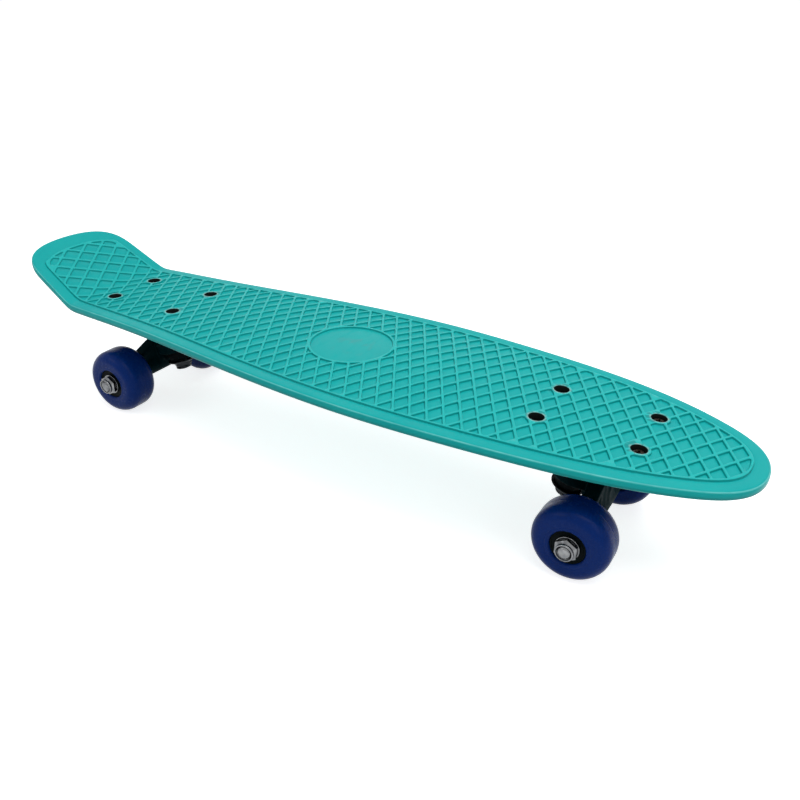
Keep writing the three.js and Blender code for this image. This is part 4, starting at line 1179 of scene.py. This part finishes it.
def both_ways(section_shell, station_y):
    """Moves a shell drawn along +Z to lie along +Y at a distance on one side, or turned over on the other side."""
    points, faces = aimed(section_shell, (0, 0, 0), (0, np.sign(station_y), 0))
    return points + AXLE_PLACE + (0, station_y, 0), faces


def make_truck(end):
    """One truck with its wheels; returns its two bushings."""
    hanger = end + "_hanger_set"

    def put(name, shell, body, slot):
        node_name = f"{end}_{name}"
        return piece(node_name + "_piece", [seated(shell, end)], body, slot, node_name)

    def on_pin(section, **options):
        return aimed(turned(section, **options), YOKE_PLACE, KINGPIN_WAY)

    put("baseplate", BASEPLATE, "board", "truck_plastic")
    put("hanger", HANGER, hanger, "truck_plastic")
    cup = softened([(5.3, 33.8, 0.3), (6.9, 33.8, 0.3), (6.9, 42.5, 0.3), (0, 42.5, 0), (0, 41.1, 0),
                    (5.3, 41.1, 2.2)], closed=True)
    put("pivot_cup", aimed(turned(cup, 64, closed=True), YOKE_PLACE, PIVOT_WAY), "board", "liner_plastic")

    pin = np.concatenate([[(0, PIN_END), (3.1, PIN_END), (3.6, PIN_END + 0.5)],
                          threaded(PIN_RADIUS, PIN_END + 0.6, -14.5),
                          [(PIN_RADIUS, -14.2), (PIN_RADIUS, 22.6), (PIN_RADIUS, 22.7)]])
    head = softened([(PIN_RADIUS, 22.72, 0), (6.5, 22.72, 0.1), (7.7, 23.2, 0.1), (7.7, 27.2, 0.1), (6.3, 28, 0.2),
                     (4.4, 28, 0.2), (4.1, 27.8, 0.1), (0, 27.8, 0)])
    put("kingpin", on_pin(np.concatenate([pin, head]), across=NUT_ACROSS), "board", "bright_zinc")
    pin_nut = nut_section(HOLE_RADIUS, NUT_ACROSS, 5.5, 6.3) * (1, -1) + (0, -14.4)
    put("kingpin_nut", on_pin(pin_nut, closed=True, across=NUT_ACROSS), "board", "dark_steel")
    bushings = [put(name + "_bushing", on_pin(bushing_section(*sizes) * (1, way), closed=True), "board",
                    "bushing_urethane") for name, way, sizes, _ in CLAMPED]
    for name, way, _, sizes in CLAMPED:
        put(name + "_cup_washer", on_pin(cup_section(*sizes) * (1, way), closed=True), "board", "dark_steel")

    half_axle = np.concatenate([[(PIN_RADIUS, 0), (PIN_RADIUS, 31), (PIN_RADIUS, 54)],
                                threaded(PIN_RADIUS, 54.2, 60.6),
                                [(3.75, 60.75), (3.55, 61.05), (3.0, 61.35), (2.1, 61.57), (1.0, 61.67), (0, 61.7)]])
    axle = np.concatenate([(half_axle * (1, -1))[::-1], half_axle[1:]])
    put("axle", aimed(turned(axle), AXLE_PLACE, SIDEWAYS), hanger, "bright_zinc")
    race_outer = WHEEL_OUTER - BEARING_SINK
    washer = turned(washer_section(HOLE_RADIUS, 7.5, 0.7), closed=True)
    nut = turned(nut_section(HOLE_RADIUS, NUT_ACROSS, 5.1, 5.75), closed=True, across=NUT_ACROSS)
    for way in (1, -1):
        side = "left" if way * ENDS[end] > 0 else "right"
        wheel_set = f"{end}_{side}_wheel_set"
        wheel = both_ways(turned(wheel_section(), 128, closed=True), way * (WHEEL_OUTER - WHEEL_HALF))
        put(side + "_wheel", wheel, wheel_set, "wheel_urethane")
        for place, out in (("inner", WHEEL_INNER + BEARING_SINK + BEARING_WIDTH / 2),
                           ("outer", race_outer - BEARING_WIDTH / 2)):
            bearing = both_ways(turned(bearing_section(), closed=True), way * out)
            put(f"{side}_{place}_bearing", bearing, wheel_set, "bearing_black")
        put(side + "_axle_washer", both_ways(washer, way * (race_outer + CLEARANCE)), hanger, "bright_zinc")
        put(side + "_axle_nut", both_ways(nut, way * (race_outer + 1.3)), hanger, "bright_zinc")
    return bushings


BUSHINGS = {end: make_truck(end) for end in ENDS}

# %% [markdown]
# ## Deck bolts
#
# Eight bolts hold the trucks. Their round heads sit deep in the holes of the deck with a cross pressed in for the
# driver, and their plain nuts are drawn up under the baseplates. The cross is a field too: a point of the head is
# pushed down where it lies near either of two lines, and less so toward the rim.

# %% Bolts and nuts
HEAD_LOW = HEAD_SEAT + CLEARANCE
HEAD_HEIGHT = 2.4
HEAD_RADIUS = 3.9
HEAD_TOP = HEAD_LOW + HEAD_HEIGHT
BOLT_NUT_HEIGHT = 4
BOLT_NUT_ACROSS = 8
BOLT_NUT_LOW = BASE_UNDERSIDE - CLEARANCE - BOLT_NUT_HEIGHT
BOLT_END = BOLT_NUT_LOW - 1.2


def bolt_shell():
    """Threaded shank, low round head and a pressed cross whose arms slope up to the rim."""
    shank = np.concatenate([[(0, BOLT_END), (1.9, BOLT_END), (2.3, BOLT_END + 0.4)],
                            threaded(2.5, BOLT_END + 0.5, HEAD_LOW - 4, 0.8, 0.28), [(2.5, HEAD_LOW - 3.6)]])
    head = softened([(2.5, HEAD_LOW, 0), (HEAD_RADIUS, HEAD_LOW, 0.15), (HEAD_RADIUS, HEAD_LOW + 1.5, 0.9),
                     (3.2, HEAD_TOP, 0.5), (2.9, HEAD_TOP, 0)])
    crown = [(radius, HEAD_TOP) for radius in np.linspace(2.8, 0, 16)]
    points, faces = turned(np.concatenate([shank, head, crown]), 96)
    x, y, z = points.T
    near, far = np.minimum(np.abs(x), np.abs(y)), np.maximum(np.abs(x), np.abs(y))
    arm = near + np.maximum(far - 1.9, 0)
    depth = 1.3 / (1 + np.exp((arm - 0.52) / 0.07))
    z = np.where(z > HEAD_TOP - 0.05, z - depth, z)
    return np.stack([x, y, z], -1), faces


BOLT_SHELL = bolt_shell()
BOLT_NUT = turned(nut_section(2.65, BOLT_NUT_ACROSS, BOLT_NUT_HEIGHT) + (0, BOLT_NUT_LOW), closed=True,
                  across=BOLT_NUT_ACROSS)
for end, place, side, bolt_x, bolt_y in BOLTS:
    node_name = f"{end}_{place}_{side}"
    shift = (bolt_x, bolt_y, 0)
    piece(node_name + "_bolt_piece", [(BOLT_SHELL[0] + shift, BOLT_SHELL[1])], "board", "bright_zinc",
          node_name + "_bolt", look="bolt_zinc")
    piece(node_name + "_nut_piece", [(BOLT_NUT[0][:, [1, 0, 2]] * (1, -1, 1) + shift, BOLT_NUT[1])], "board",
          "bright_zinc", node_name + "_nut")

# %% [markdown]
# ## The bushings' own meshes
#
# When a rider leans, the hanger tilts on the kingpin and presses the rubber on one side. Here each bushing only gets a
# mesh of its own. The heights of the far faces, which stay where the board holds them, and the shares to keep on the
# loaded side are listed, but nothing thins the bushings.

# %% Bushing meshes
FAR_FACES = (14.3, -12.3)
LEAST_SHARES = (0.87, 0.85)

for end, bushings in BUSHINGS.items():
    joint, facing = end + "_steer", ENDS[end]
    for bushing, along, keep in zip(bushings, FAR_FACES, LEAST_SHARES):
        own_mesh(bushing)
        print(joint, bushing.name)

# %% [markdown]
# ## Studio
#
# The photograph is a cut-out on white, lit from above and a little from the front left, with broad soft highlights.
# The world looks white to the camera and in reflections, and gives a softer grey light to everything else. The floor
# has a glow for the same rays only, so it looks nearly white and still carries the board's shadow.

# %% Floor and world


def seen_only(tree):
    """One where a ray comes from the camera, a mirror or glass, and nought where it carries light to the board."""
    path = node(tree, "LightPath", {}).outputs
    mirrored = worked(tree, "MAXIMUM", path["Is Camera Ray"], path["Is Glossy Ray"])
    return worked(tree, "MAXIMUM", mirrored, path["Is Transmission Ray"])


def studio_world(ambient):
    """White to the eye, and a plain grey light on the board."""
    world = bpy.data.worlds.new("studio")
    world.use_nodes = True
    bpy.context.scene.world = world
    tree = world.node_tree
    background = tree.nodes["Background"]
    background.inputs["Color"].default_value = (1, 1, 1, 1)
    tree.links.new(remap(tree, seen_only(tree), 0, 1, ambient, 1.0), background.inputs["Strength"])


def studio_floor(albedo, glow, reach=30.0):
    """A pale floor that keeps the shadow; what the camera sees of it is lifted to white by a glow."""
    material = bpy.data.materials.new("studio_floor")
    material.use_nodes = True
    tree = material.node_tree
    tree.nodes.clear()
    matt = node(tree, "BsdfDiffuse", {"Color": (albedo, albedo, albedo, 1)}).outputs[0]
    light = node(tree, "Emission", {"Strength": remap(tree, seen_only(tree), 0, 1, 0, glow)}).outputs[0]
    node(tree, "OutputMaterial", {"Surface": node(tree, "AddShader", {0: matt, 1: light}).outputs[0]})
    mesh = bpy.data.meshes.new("studio_floor")
    corners = [(-reach, -reach, 0), (reach, -reach, 0), (reach, reach, 0), (-reach, reach, 0)]
    mesh.from_pydata(corners, [], [(0, 1, 2, 3)])
    mesh.materials.append(material)
    floor = bpy.data.objects.new("studio_floor", mesh)
    bpy.context.scene.collection.objects.link(floor)


def lamp(name, place, target, width, height, watts):
    """A soft box at a place, facing a target."""
    light = bpy.data.lights.new(name, "AREA")
    light.shape = "RECTANGLE"
    light.size, light.size_y = width, height
    light.energy = watts
    holder = bpy.data.objects.new(name, light)
    holder.location = place
    holder.rotation_euler = (Vector(target) - Vector(place)).to_track_quat("-Z", "Y").to_euler()
    bpy.context.scene.collection.objects.link(holder)


studio_world(0.30)
studio_floor(0.8, 0.78)
lamp("top_box", (0.30, 0.15, 1.25), (0.1, 0, 0.06), 1.6, 1.1, 14.5)
lamp("nose_box", (1.1, -0.45, 0.75), (0.15, 0, 0.06), 0.5, 0.5, 1.0)
lamp("left_box", (-0.9, -1.0, 0.9), (0, 0, 0.05), 0.7, 0.5, 2.2)
bpy.context.scene.view_settings.view_transform = "Standard"
